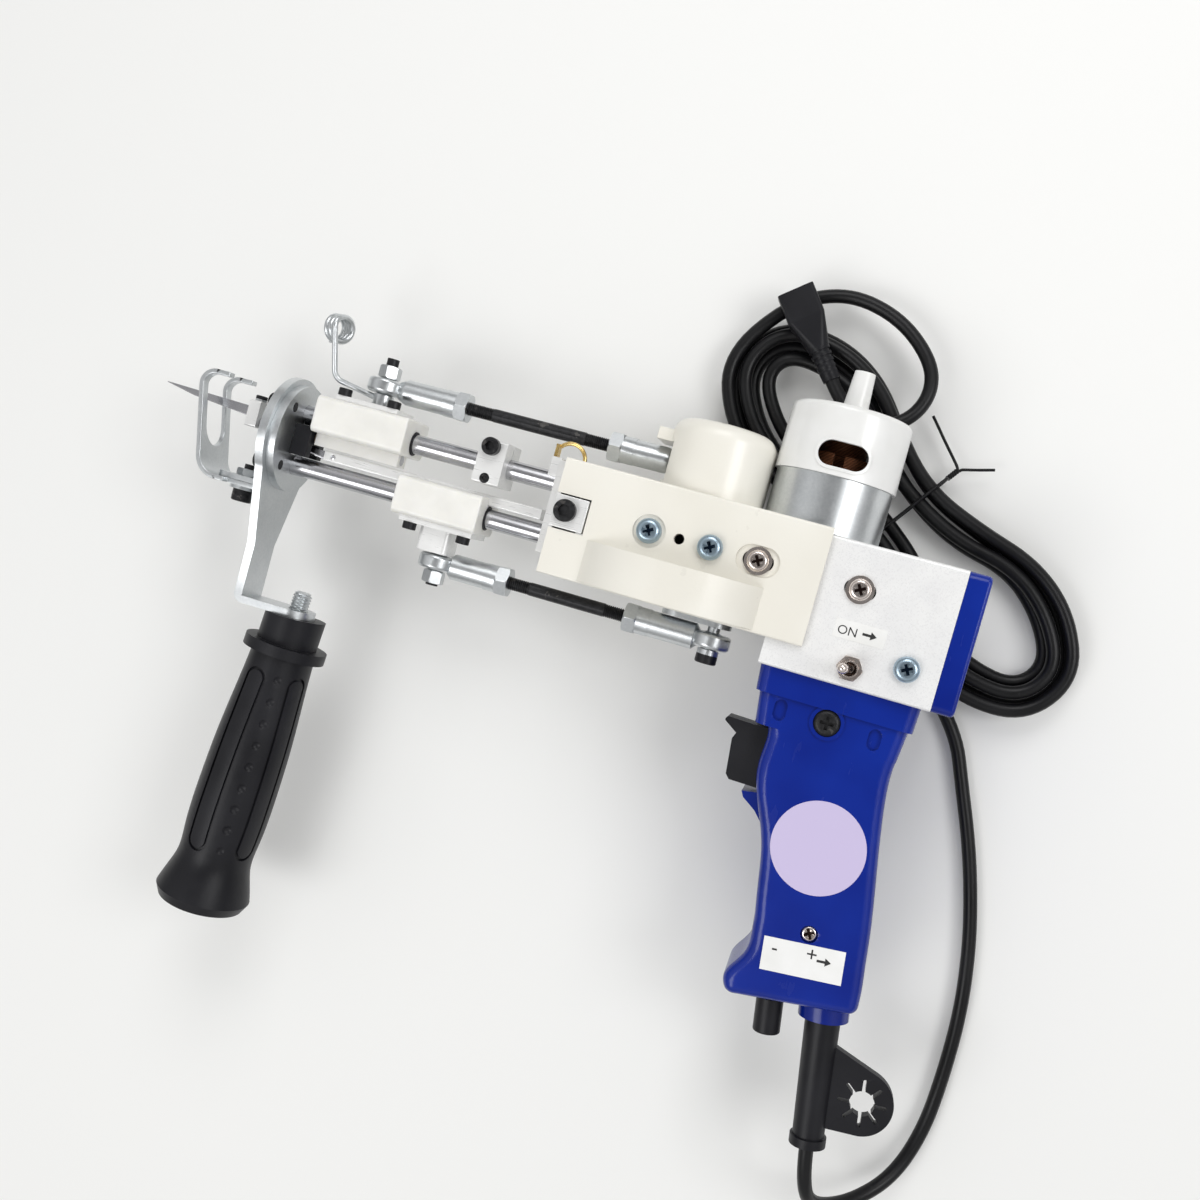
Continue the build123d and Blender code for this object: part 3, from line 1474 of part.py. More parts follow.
def lever_solid():
    stem = Pos(0, 0, lever_long / 2) * Cone(lever_r, lever_tip_r, lever_long)
    tip = Pos(0, 0, lever_long) * Sphere(lever_tip_r)
    pivot = box_half + toggle_bush_rise - lever_well_deep + lever_r
    return Pos(toggle_x, toggle_y, pivot) * Rot(0, lever_turn, 0) * (stem + tip)


# Screws of the near and far faces
def zinc_screws():
    group = []
    for side in (-1, 1):
        for x, deep in zip(blue_screw_x, (blue_recess_deep, 0)):
            screw = phillips_screw(pan_head_r, pan_head_h, pan_shank_r, house_wall)
            group.append(aim(screw, (x, blue_screw_y, side * (house_half - deep)), (0, 0, side)))
        screw = phillips_screw(pan_head_r, pan_head_h, small_shank_r, box_wall)
        group.append(aim(screw, (box_pan_x, box_pan_y, side * box_half), (0, 0, side)))
    return group


nickel_head_r = 4.0
nickel_head_h = 2.6
nickel_washer_r = 5.2


def nickel_screws():
    group = []
    for side in (-1, 1):
        for x, y, face, turn in ((slot_screw_x, slot_screw_y, house_half - slot_deep, 1),
                                 (box_slot_screw_x, box_slot_screw_y, box_half, -1)):
            ring = washer(nickel_washer_r, pan_shank_r + screw_fit, washer_thick)
            group.append(aim(ring, (x, y, side * face), (0, 0, side)))
            screw = phillips_screw(nickel_head_r, nickel_head_h, pan_shank_r, box_wall + washer_thick)
            group.append(aim(screw, (x, y, side * (face + washer_thick)), (0, 0, side)))
    nut = hex_nut(toggle_nut_across, toggle_nut_thick, toggle_bush_r + press_fit)
    group.append(aim(nut, (toggle_x, toggle_y, box_half), (0, 0, 1)))
    return group


# Circuit board in the box that feeds the motor
board_parts = [(76.0, 6.0), (88.0, 4.5)]
board_part_high = 9.0
board_post = 3.0


def board_solid():
    board = block(board_left, board_right, board_y, board_y + board_thick, -board_half, board_half)
    for x, r in board_parts:
        board += along_y(board_y - board_part_high, board_y, x, -board_half / 2, r)
    for z in (-board_half + board_post, board_half - board_post):
        board += along_y(board_y, box_top - box_wall, board_right - board_post, z, board_post / 2)
        board += along_y(board_y, box_top - box_wall, board_left + board_post, z, board_post / 2)
    return board


# Yarn ring at the rear: a clip on the rear block with a bent brass wire
clip_left = -61.0
clip_right = -59.6
clip_low = 20.5
clip_high = 25.6
clip_near = 16.0
clip_far = 12.0
ring_wire_r = 0.8
ring_top_y = 27.0
ring_top_x = -55.5
ring_end_x = -49.0


def rear_ring_solids():
    clip = block(clip_left, clip_right, clip_low, clip_high, clip_far, clip_near)
    middle = (clip_far + clip_near) / 2
    start = Vector(clip_right, clip_high - ring_wire_r, middle)
    top = Vector(ring_top_x, ring_top_y, middle)
    end = Vector(ring_end_x, house_top, middle)
    arc = ThreePointArc(start, top, end)
    way = arc % 0
    wire = sweep(Plane(origin=start, z_dir=way) * Circle(ring_wire_r), path=arc)
    reach = block(clip_right, ring_end_x + clip_high, house_top, clip_high + clip_high, clip_far, clip_near)
    return Compound(children=[clip, wire & reach])


# Cord: a free lead, a hank of five loops in two layers, and a tail to the connector
cord_d = 5.6
cord_r = cord_d / 2
tie_thick = 1.2
tie_gap = 0.1
tie_wide = 2.6
layer_step = 6.2
layer_low = tie_thick + tie_gap + cord_r
layer_high = layer_low + layer_step
hank_x = 71.5
hank_y = 36.0
hank_angle = -36.0
hank_reach = 95.0
hank_lobe = 31.5
hank_waist = 19.5
hank_lobe_at = 50.0
hank_pitch = 6.8
hank_climb_key = 17
hank_turn_key = 19
hank_return_key = 21
hank_last_key = 35
connector_z = layer_high + cord_r + open_gap + 5.5


def hank_place(along, across, height):
    angle = math.radians(hank_angle)
    x = hank_x + along * math.cos(angle) - across * math.sin(angle)
    y = hank_y + along * math.sin(angle) + across * math.cos(angle)
    return Vector(x, y, height - crank_z)


def hank_way(along, across):
    return (hank_place(along, across, 0) - hank_place(0, 0, 0)).normalized()


# Key points of one loop: lobe, waist, lobe, end, and the same on the other side
keys_per_turn = 8


def hank_key(key):
    fold = 2 * hank_climb_key
    if key <= hank_turn_key:
        inset = key * hank_pitch / keys_per_turn
    elif key < hank_return_key:
        inset = (hank_turn_key + fold - hank_return_key) * hank_pitch / keys_per_turn / 2
    else:
        inset = (fold - key) * hank_pitch / keys_per_turn
    height_share = min(max(key - hank_climb_key, 0) / (hank_turn_key - hank_climb_key), 1)
    height = layer_low + (layer_high - layer_low) * height_share
    lobe = hank_lobe - inset
    end = hank_reach - inset
    waist = hank_waist - inset
    shapes = [((hank_lobe_at, -lobe), (-1, 0)), ((0, -waist), (-1, 0)), ((-hank_lobe_at, -lobe), (-1, 0)),
              ((-end, 0), (0, 1)), ((-hank_lobe_at, lobe), (1, 0)), ((0, waist), (1, 0)),
              ((hank_lobe_at, lobe), (1, 0)), ((end, 0), (0, -1))]
    place, way = shapes[key % keys_per_turn]
    return hank_place(*place, height), hank_way(*way)


def hank_edges():
    edges = []
    for key in range(hank_last_key):
        start, start_way = hank_key(key)
        end, end_way = hank_key(key + 1)
        edges += [arc.edge() for arc in biarc(start, start_way, end, end_way)]
    return edges


def hank_solid():
    start, way = hank_key(0)
    path = Wire(hank_edges())
    print("hank length", round(path.length, 1), "least gap", round(least_gap(path, cord_d), 2))
    return sweep(Plane(origin=start, z_dir=way) * Circle(cord_r), path=path)


# Least gap of a tube to itself, measured between points along its path at least two diameters apart
points_per_diameter = 4


def least_gap(path, diameter):
    count = int(path.length / diameter * points_per_diameter)
    points = [path.position_at(step / count) for step in range(count + 1)]
    gap = path.length
    for first in range(len(points)):
        for second in range(first + 2 * points_per_diameter, len(points)):
            gap = min(gap, (points[first] - points[second]).length)
    return gap - diameter


# The lead leaves the sleeve, turns back along the table and runs into the hank, heights above the table
lead_first = 17.0
lead_last = 13.5
lead_points = [(112.5, -234.0, 31.0), (127.0, -232.0, 19.0), (140.5, -221.0, 9.5),
               (147.6, -201.0, 4.6), (149.0, -177.0, 4.1), (148.6, -151.0, 4.1), (145.2, -126.0, 4.1),
               (139.8, -104.0, 4.1), (133.0, -83.0, 4.1), (124.6, -62.5, 4.1), (116.4, -42.0, 4.1)]

# The tail, along and across the hank and above the table
tail_points = [(-95.8, 20.0, 10.3), (-84.0, 40.0, 11.0), (-62.0, 49.0, 13.2), (-40.0, 47.0, 15.4),
               (-29.6, 38.4, 16.8), (-27.0, 25.2, 17.9), (-33.4, 13.3, 18.9), (-45.9, 8.2, 18.9)]
connector_along = -58.8
connector_across = 12.1


arc_share = 0.45


def free_tube(points, name):
    radii = []
    for before, corner, after in zip(points, points[1:], points[2:]):
        turn = (corner - before).get_angle(after - corner)
        run = min((corner - before).length, (after - corner).length)
        radii.append(arc_share * run / math.tan(math.radians(turn / 2)))
    path = FilletPolyline(*points, radius=radii)
    tube = sweep(Plane(origin=points[0], z_dir=points[1] - points[0]) * Circle(cord_r), path=path)
    print(name, "length", round(path.length, 1), "radii", [round(radius, 1) for radius in radii],
          "volume share", round(tube.volume / (math.pi * cord_r ** 2 * path.length), 4))
    return tube


def lead_solid():
    start = Vector(*sleeve_end(), 0)
    angle = math.radians(grip_rake)
    route = [start, start + Vector(math.sin(angle), -math.cos(angle), 0) * lead_first]
    route += [Vector(x, y, height - crank_z) for x, y, height in lead_points]
    end, way = hank_key(0)
    route += [end - way * lead_last, end]
    return free_tube(route, "lead")


def connector_joint():
    return hank_place(connector_along, connector_across, connector_z)


def tail_solid():
    route = [hank_key(hank_last_key)[0]]
    route += [hank_place(along, across, height) for along, across, height in tail_points[:-2]]
    route += [hank_place(along, across, connector_z) for along, across, height in tail_points[-2:]]
    route.append(connector_joint())
    return free_tube(route, "tail")


# Connector at the cord's end: ribbed relief, tapered body, square head with two holes
relief_long = 14.0
relief_r = 4.4
relief_rib_count = 5
relief_rib_deep = 0.8
relief_round_share = 0.9
body_long = 13.0
head_long = 12.0
head_wide = 15.0
head_high = 11.0
head_edge = 1.5
contact_r = 1.6
contact_apart = 6.6
contact_deep = 8.0


def connector_solid():
    start = connector_joint()
    last_along, last_across, last_height = tail_points[-1]
    way = (start - hank_place(last_along, last_across, connector_z)).normalized()
    body = Pos(0, 0, relief_long / 2) * Cone(cord_r + cord_r / 4, relief_r, relief_long)
    rib = relief_long / (2 * relief_rib_count + 1)
    for step in range(relief_rib_count):
        ring = Cylinder(2 * relief_r, rib) - Cylinder(relief_r - relief_rib_deep, rib)
        body -= Pos(0, 0, (2 * step + 1) * rib + rib / 2) * ring
    low = Plane.XY.offset(relief_long) * RectangleRounded(2 * relief_r, 2 * relief_r,
                                                          relief_r * relief_round_share)
    high = Plane.XY.offset(relief_long + body_long) * RectangleRounded(head_wide, head_high, head_edge)
    body += loft([low, high])
    head = Pos(0, 0, relief_long + body_long) * extrude(RectangleRounded(head_wide, head_high, head_edge),
                                                        head_long)
    body += head
    top = relief_long + body_long + head_long
    for side in (-1, 1):
        body -= Pos(side * contact_apart / 2, 0, top - contact_deep / 2) * Cylinder(contact_r, contact_deep)
    across = Vector(-way.Y, way.X, 0)
    return Plane(origin=start, x_dir=across, z_dir=way).location * body


# Twist tie round the waist of the hank
tie_clear = 0.4
tie_stub_long = 6.0
tie_stub_r = 1.3
tie_tail_r = 0.7
tie_tails = [(24.0, 76.0), (14.0, -40.0)]


def tie_solid():
    inner_half = hank_waist + cord_r + tie_clear
    inner_high = layer_high + cord_r + tie_clear
    wide = 2 * (inner_half + tie_thick)
    high = inner_high + tie_thick
    corner = cord_r + tie_clear
    outline = Pos(0, high / 2, 0) * RectangleRounded(wide, high, corner + tie_thick)
    hole = Pos(0, tie_thick + (inner_high - tie_thick) / 2, 0)
    hole = hole * RectangleRounded(2 * inner_half, inner_high - tie_thick, corner)
    band = extrude(outline - hole, tie_wide / 2, both=True)
    middle = high / 2
    out = inner_half + tie_thick / 2
    band += along_x(out, out + tie_stub_long, middle, 0, tie_stub_r)
    for long, turn in tie_tails:
        tail = Pos(long / 2, 0, 0) * Rot(0, 90, 0) * Cylinder(tie_tail_r, long)
        band += Pos(out + tie_stub_long, middle, 0) * Rot(0, turn, 0) * tail
    place = hank_place(0, 0, 0)
    return Plane(origin=place, x_dir=hank_way(0, 1), z_dir=hank_way(-1, 0) * -1).location * band


# Every node by its name
def machine():
    housing = housing_solid()
    grip = grip_solid()
    return {
        "housing_near": half_of(housing, 1),
        "housing_far": half_of(housing, -1),
        "crank_guard": crank_guard_solid(),
        "crankshaft": crankshaft_solid(),
        "crank_gear": crank_gear_solid(),
        "blade_crank": blade_crank_solid(),
        "shaft_bearings": group([bearing_solid(bearing_low), bearing_solid(bearing_high)]),
        "motor_can": motor_can_solid(),
        "motor_cover": motor_cover_solid(),
        "motor_armature": armature_solid(),
        "motor_pinion": pinion_solid(),
        "motor_box": box_solid(),
        "end_cap": end_cap_solid(),
        "circuit_board": board_solid(),
        "toggle_switch": toggle_body_solid(),
        "toggle_lever": lever_solid(),
        "zinc_fasteners": group(zinc_screws() + foot_fasteners()),
        "nickel_fasteners": group(nickel_screws() + grip_screws()[1:]),
        "black_screws": group(black_screws() + front_screws() + grip_screws()[:1]),
        "guide_rods": guide_rods_solid(),
        "rear_plate": rear_plate_solid(),
        "clamp_block": clamp_block_solid(),
        "rear_yarn_ring": rear_ring_solids(),
        "front_disc": front_disc_solid(),
        "needle_guide": needle_guide_solid(),
        "needle_bush": needle_bush_solid(),
        "handle_bracket": bracket_solid(),
        "side_handle": handle_solid(),
        "handle_stud": stud_solid(),
        "presser_foot": foot_solid(),
        "needle_slider": needle_slider_solid(),
        "needle_slider_bush": slider_bush(needle_slider_front, needle_slider_rear, upper_rod_y),
        "needle_plate": needle_plate_solid(),
        "needle_fasteners": group(needle_fasteners() + needle_pivot_solids() + [holder_screw_solid()]),
        "needle_bar": needle_bar_solid(),
        "hollow_needle": needle_solid(),
        "needle_holder": needle_holder_solid(),
        "yarn_guide": yarn_guide_solid(),
        "blade_slider": blade_slider_solid(),
        "blade_slider_bush": slider_bush(blade_slider_front, blade_slider_rear, lower_rod_y),
        "blade_plate": blade_plate_solids(),
        "blade_fasteners": group(blade_fasteners() + blade_pivot_solids()),
        "blade_bar": blade_bar_solid(),
        "scissor_blades": blade_solids(),
        "upper_push_rod": push_rod(needle_front_nut, needle_rear_nut, needle_push_y),
        "lower_push_rod": push_rod(blade_front_nut, blade_rear_nut, blade_push_y),
        "upper_rod_ends": group(needle_rod_ends()),
        "lower_rod_ends": group(blade_rod_ends()),
        "grip_near": half_of(grip, 1),
        "grip_far": half_of(grip, -1),
        "trigger": trigger_solid(),
        "grip_controls": group([switch_solid()] + speed_control_solids()),
        "speed_knob": knob_solid(),
        "cord_sleeve": sleeve_solid(),
        "printed_labels": group(label_solids() + [sticker_solid()]),
        "cord_lead": lead_solid(),
        "cord_hank": hank_solid(),
        "cord_tail": tail_solid(),
        "cord_connector": connector_solid(),
        "twist_tie": tie_solid(),
    }


def needle_rod_ends():
    ends = push_rod_ends(needle_eye_x, needle_shank_front, needle_front_nut, needle_rear_nut,
                         needle_shank_rear,
                         needle_crank_x, needle_push_y)
    nuts = push_rod_nuts(needle_front_nut, needle_rear_nut, needle_push_y)
    face = needle_crank_low + needle_crank_thick
    return ends + nuts + [crank_bolt(needle_crank_x, needle_push_y, face, 1)]


def blade_rod_ends():
    ends = push_rod_ends(blade_eye_x, blade_shank_front, blade_front_nut, blade_rear_nut, blade_shank_rear,
                         blade_crank_x, blade_push_y)
    nuts = push_rod_nuts(blade_front_nut, blade_rear_nut, blade_push_y)
    return ends + nuts + [crank_bolt(blade_crank_x, blade_push_y, blade_crank_low, -1)]


# Separate solids that share one node
def group(solids):
    return Compound(children=solids)


os.makedirs("parts", exist_ok=True)
seat = Pos(crank_x, crank_y, crank_z)
for name, solid in machine().items():
    placed = seat * solid
    export_step(placed, f"parts/{name}.step")
    box = placed.bounding_box()
    low = [round(value, 2) for value in box.min]
    high = [round(value, 2) for value in box.max]
    print(name, "solids", len(placed.solids()), "from", low, "to", high)
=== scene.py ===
import json
import math
import bpy
from mathutils import Matrix, Vector


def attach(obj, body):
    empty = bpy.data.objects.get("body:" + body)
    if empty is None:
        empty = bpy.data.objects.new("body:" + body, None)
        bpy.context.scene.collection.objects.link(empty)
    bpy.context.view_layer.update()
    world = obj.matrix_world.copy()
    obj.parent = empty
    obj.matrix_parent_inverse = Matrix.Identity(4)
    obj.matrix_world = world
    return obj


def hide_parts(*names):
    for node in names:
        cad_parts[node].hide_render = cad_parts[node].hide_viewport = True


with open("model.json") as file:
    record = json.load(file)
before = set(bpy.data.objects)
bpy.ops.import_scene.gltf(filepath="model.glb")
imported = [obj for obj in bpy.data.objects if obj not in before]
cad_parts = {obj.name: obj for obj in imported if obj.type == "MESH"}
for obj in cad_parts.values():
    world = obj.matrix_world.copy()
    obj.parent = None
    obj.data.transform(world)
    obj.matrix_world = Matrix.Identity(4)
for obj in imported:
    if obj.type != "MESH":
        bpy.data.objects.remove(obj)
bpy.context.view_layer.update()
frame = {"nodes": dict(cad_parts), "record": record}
nodes = frame["nodes"]
print("frame loaded:", len(nodes), "nodes")

# Places are written in the machine's own millimetres, measured from the crankshaft
crankAt = Vector((53.2, 62.6, 43.4))


def at(x, y, z):
    return (crankAt + Vector((x, y, z))) / 1000


def link(obj, body):
    bpy.context.scene.collection.objects.link(obj)
    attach(obj, body)
    return obj


# Camera: the photograph's angle, worked out from the rods, the housing and the handle. The turns are in
# radians, the slide in millimetres and the focal length in pixels of the frame
view = {
    "turns": (0.0461, -0.188, -0.2789), "slide": (37.35, 19.0, -494.6), "focal": 1271.9, "frame": 1200,
    "sensor": 36, "clip": (0.01, 20),
}


def makeCamera():
    tiltX, tiltY, tiltZ = view["turns"]
    seen = Matrix.Rotation(tiltZ, 3, "Z") @ Matrix.Rotation(tiltY, 3, "Y") @ Matrix.Rotation(tiltX, 3, "X")
    back = seen.transposed()
    data = bpy.data.cameras.new("camera")
    data.sensor_width = view["sensor"]
    data.lens = view["focal"] / view["frame"] * view["sensor"]
    data.clip_start, data.clip_end = view["clip"]
    camera = bpy.data.objects.new("camera", data)
    camera.matrix_world = Matrix.Translation(at(*(-(back @ Vector(view["slide"]))))) @ back.to_4x4()
    bpy.context.scene.collection.objects.link(camera)
    bpy.context.scene.camera = camera


makeCamera()

# Cord: one line from the sleeve through the hank to the connector, in millimetres
cord = {
    "thick": 5.6, "rake": 8.5, "exit": (102.15, -206.13), "first": 17.0,
    "lead": [(112.5, -234.0, 31.0), (127.0, -232.0, 19.0), (140.5, -221.0, 9.5), (147.6, -201.0, 4.6),
             (149.0, -177.0, 4.1), (148.6, -151.0, 4.1), (145.2, -126.0, 4.1), (139.8, -104.0, 4.1),
             (133.0, -83.0, 4.1), (124.6, -62.5, 4.1), (116.4, -42.0, 4.1)],
    # along and across the hank, and height over the floor
    "tail": [(-95.8, 20.0, 10.3), (-84.0, 40.0, 11.0), (-62.0, 49.0, 13.2), (-40.0, 47.0, 15.4),
             (-29.6, 38.4, 16.8), (-27.0, 25.2, 17.9), (-33.4, 13.3, 18.9), (-45.9, 8.2, 18.9),
             (-58.8, 12.1, 18.9)],
}
hank = {
    "middle": (71.5, 36.0), "turn": -36.0, "reach": 95.0, "lobe": 31.5, "waist": 19.5, "pitch": 6.8,
    # the turns are counted in eighths: where the cord climbs, is inmost, turns back and ends
    "rounds": 5, "eighths": 8, "low": 4.1, "high": 10.3, "climb": 17, "inmost": 19, "back": 21, "last": 35,
    # eighths of a turn, along and across, as shares of the reach and of the lobe or the waist
    "loop": [(0.0, 0.53, -1.0, "lobe"), (0.55, 0.27, -1.3, "waist"), (1.0, 0.0, -0.97, "waist"),
             (1.45, -0.27, -1.3, "waist"), (2.0, -0.53, -1.0, "lobe"), (2.35, -0.78, -0.9, "lobe"),
             (2.75, -1.0, -0.42, "lobe"), (3.25, -1.0, 0.42, "lobe"), (3.65, -0.78, 0.9, "lobe"),
             (4.0, -0.53, 1.0, "lobe"), (4.55, -0.27, 1.3, "waist"), (5.0, 0.0, 0.97, "waist"),
             (5.45, 0.27, 1.3, "waist"), (6.0, 0.53, 1.0, "lobe"), (6.35, 0.78, 0.9, "lobe"),
             (6.75, 1.0, 0.42, "lobe"), (7.25, 1.0, -0.42, "lobe"), (7.65, 0.78, -0.9, "lobe")],
}


def onHank(along, across, height):
    turn = math.radians(hank["turn"])
    x = hank["middle"][0] + along * math.cos(turn) - across * math.sin(turn)
    y = hank["middle"][1] + along * math.sin(turn) + across * math.cos(turn)
    return Vector((x, y, height - crankAt.z))


def hankInset(key):
    fold = 2 * hank["climb"]
    if key <= hank["inmost"]:
        eighths = key
    elif key < hank["back"]:
        share = (key - hank["inmost"]) / (hank["back"] - hank["inmost"])
        eighths = hank["inmost"] + (fold - hank["back"] - hank["inmost"]) * share
    else:
        eighths = fold - key
    return eighths * hank["pitch"] / hank["eighths"]


def hankPoints():
    points = []
    for turn in range(hank["rounds"]):
        for place, along, across, side in hank["loop"]:
            key = hank["eighths"] * turn + place
            if key > hank["last"]:
                return points
            inset = hankInset(key)
            rise = min(max((key - hank["climb"]) / (hank["inmost"] - hank["climb"]), 0), 1)
            height = hank["low"] + (hank["high"] - hank["low"]) * rise
            points.append(onHank(along * (hank["reach"] - inset), across * (hank[side] - inset), height))
    return points


# Tie: one wire round the hank's waist, its ends twisted together and then spread
tie = {
    "wire": 0.6, "height": 7.35, "knot": (24.0, 29.3), "turns": 2.5, "spread": 0.6, "steps": 24,
    # length and turn of each spread end, the shares of its length that carry a point, and how it waves
    "tails": [(24.0, 76.0), (14.0, -40.0)], "tailShares": [0.08, 0.2, 0.38, 0.6, 0.8, 1.0],
    "wave": 0.5, "waves": 9.0,
    # across the hank and height over the floor
    "loop": [(23.3, 9.6), (23.3, 12.2), (22.0, 13.9), (12.0, 14.05), (-12.0, 14.05), (-22.0, 13.9),
             (-23.3, 12.2), (-23.3, 2.8), (-22.0, 0.8), (0.0, 0.7), (22.0, 0.8), (23.3, 2.8), (23.3, 5.2)],
}


def tieEnd(number):
    first, last = tie["knot"]
    points = []
    for step in range(tie["steps"] + 1):
        share = step / tie["steps"]
        angle = 2 * math.pi * tie["turns"] * share + math.pi * number
        points.append(onHank(tie["spread"] * math.cos(angle), first + (last - first) * share,
                             tie["height"] + tie["spread"] * math.sin(angle)))
    long, turn = tie["tails"][number]
    for share in tie["tailShares"]:
        along = -math.sin(math.radians(turn)) * long * share
        across = last + math.cos(math.radians(turn)) * long * share
        points.append(onHank(along, across, tie["height"] + tie["wave"] * math.sin(tie["waves"] * share)))
    return points


def makeTie():
    loop = [onHank(0, across, height) for across, height in tie["loop"]]
    points = tieEnd(0)[::-1] + loop + tieEnd(1)
    made = link(makeLine("tieWire", points, tie["wire"]), "frame")
    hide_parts("twist_tie")
    return made


# A round line of one NURBS curve. The points hold its radius, because a curve's bounds grow by theirs
lineDetail = {"round": 5, "along": 8}


def makeLine(name, points, radius):
    curve = bpy.data.curves.new(name, "CURVE")
    curve.dimensions = "3D"
    curve.bevel_depth = 1.0
    curve.bevel_resolution = lineDetail["round"]
    curve.resolution_u = lineDetail["along"]
    line = curve.splines.new("NURBS")
    line.points.add(len(points) - 1)
    for point, place in zip(line.points, points):
        point.co = (*at(*place), 1)
        point.radius = radius / 1000
    line.order_u = 3
    line.use_endpoint_u = True
    return bpy.data.objects.new(name, curve)


def makeCord():
    rake = math.radians(cord["rake"])
    start = Vector((*cord["exit"], 0))
    points = [start, start + Vector((math.sin(rake), -math.cos(rake), 0)) * cord["first"]]
    points += [Vector((x, y, z - crankAt.z)) for x, y, z in cord["lead"]]
    points += hankPoints()
    points += [onHank(*place) for place in cord["tail"]]
    made = link(makeLine("powerCord", points, cord["thick"] / 2), "frame")
    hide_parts("cord_lead", "cord_hank", "cord_tail")
    return made


tieWire = makeTie()
powerCord = makeCord()
print("camera and cord made")


# Shader maths: a socket that adds, takes away, multiplies and compares
class Wire:
    def __init__(self, look, socket):
        self.look = look
        self.socket = socket

    def maths(self, operation, first, second=0.0):
        return self.look.node("ShaderNodeMath", {"operation": operation}, {0: first, 1: second})

    def __add__(self, other):
        return self.maths("ADD", self, other)

    def __radd__(self, other):
        return self.maths("ADD", other, self)

    def __sub__(self, other):
        return self.maths("SUBTRACT", self, other)

    def __rsub__(self, other):
        return self.maths("SUBTRACT", other, self)

    def __mul__(self, other):
        return self.maths("MULTIPLY", self, other)

    def __rmul__(self, other):
        return self.maths("MULTIPLY", other, self)

    def __gt__(self, other):
        return self.maths("GREATER_THAN", self, other)

    def __lt__(self, other):
        return self.maths("LESS_THAN", self, other)

    def __abs__(self):
        return self.maths("ABSOLUTE", self)

    def larger(self, other):
        return self.maths("MAXIMUM", self, other)


# The nodes of one tree, a material's or the world's. Sizes and depths are in millimetres
class NodeTree:
    def __init__(self, tree):
        self.tree = tree

    def put(self, socket, value):
        if isinstance(value, Wire):
            self.tree.links.new(value.socket, socket)
        else:
            socket.default_value = value

    def node(self, kind, settings, sockets, out=0):
        made = self.tree.nodes.new(kind)
        for name, value in settings.items():
            if name == "stops":
                while len(made.color_ramp.elements) < len(value):
                    made.color_ramp.elements.new(0.5)
                for element, (place, colour) in zip(made.color_ramp.elements, value):
                    element.position = place
                    element.color = (*colour, 1)
            else:
                setattr(made, name, value)
        for name, value in sockets.items():
            self.put(made.inputs[name], value)
        return Wire(self, made.outputs[out])

    def place(self):
        return self.node("ShaderNodeTexCoord", {}, {}, "Object")

    def axes(self):
        split = self.node("ShaderNodeSeparateXYZ", {}, {0: self.place()})
        outputs = split.socket.node.outputs
        return [Wire(self, outputs[name]) for name in "XYZ"]

    def noise(self, size, detail, stretch=(1, 1, 1)):
        spot = self.node("ShaderNodeVectorMath", {"operation": "MULTIPLY"}, {0: self.place(), 1: stretch})
        return self.node("ShaderNodeTexNoise", {}, {"Vector": spot, "Scale": 1000 / size, "Detail": detail})

    def cells(self, size):
        return self.node("ShaderNodeTexVoronoi", {}, {"Vector": self.place(), "Scale": 1000 / size}, "Color")

    def ramp(self, value, stops):
        return self.node("ShaderNodeValToRGB", {"stops": stops}, {"Fac": value})

    def blend(self, share, first, second):
        return self.node("ShaderNodeMix", {"data_type": "RGBA"}, {0: share, 6: first, 7: second}, 2)

    def bump(self, height, depth):
        return self.node("ShaderNodeBump", {}, {"Height": height, "Distance": depth / 1000})


# A material on one principled shader
class Look(NodeTree):
    def __init__(self, name, **uniform):
        self.material = bpy.data.materials.new(name)
        self.material.use_nodes = True
        super().__init__(self.material.node_tree)
        self.shader = self.tree.nodes["Principled BSDF"]
        self.feed(**uniform)

    def feed(self, **wires):
        for socket, value in wires.items():
            self.put(self.shader.inputs[socket.replace("_", " ")], value)
        return self.material


def rgb(*parts):
    return (*parts, 1)


# Phillips screws: x and y of each, the turn, arm and half width of their crosses, painted dark as shade in
# the recesses, and the head's radius
crosses = {
    "zinc": [(-15.5, 2.35), (8.15, 2.35), (87.6, -21.15)],
    "nickel": [(26.2, 2.2), (64.2, 1.9), (80.7, -124.7)],
    "turn": 28.0, "arm": 2.1, "half": 0.55, "head": 5.1, "nickelPaintedShade": (0.05, 0.03, 0.025),
}


def fromScrews(look, finish):
    x, y, z = look.axes()
    return [(x - (crankAt.x + screwX) / 1000, y - (crankAt.y + screwY) / 1000)
            for screwX, screwY in crosses[finish]]


# Mask of the Phillips cross recesses, where shade is painted into the colour
def crossMarks(look, finish):
    turn = math.radians(crosses["turn"])
    long, short = crosses["arm"] / 1000, crosses["half"] / 1000
    dark = 0.0
    for across, along in fromScrews(look, finish):
        first = abs(across * math.cos(turn) + along * math.sin(turn))
        second = abs(along * math.cos(turn) - across * math.sin(turn))
        arms = ((first < long) * (second < short)).larger((second < long) * (first < short))
        dark = arms + dark
    return dark


def headMarks(look, finish):
    head = 0.0
    for across, along in fromScrews(look, finish):
        head = (across * across + along * along < (crosses["head"] / 1000) ** 2) + head
    return head


# Nickel screw heads: painted shade, a dark brown, in the cross recesses
def nickelCrosses(look, tint):
    return look.blend(crossMarks(look, "nickel"), tint, rgb(*crosses["nickelPaintedShade"]))


# The lilac sticker on the grip
sticker = {"middle": (75.3, -93.3, 20.0), "reach": 19.0, "tint": (0.57, 0.50, 0.72)}


def lilacDisc(look, tint):
    sockets = {0: look.place(), 1: at(*sticker["middle"])}
    away = look.node("ShaderNodeVectorMath", {"operation": "DISTANCE"}, sockets, "Value")
    return look.blend(away < sticker["reach"] / 1000, tint, rgb(*sticker["tint"]))


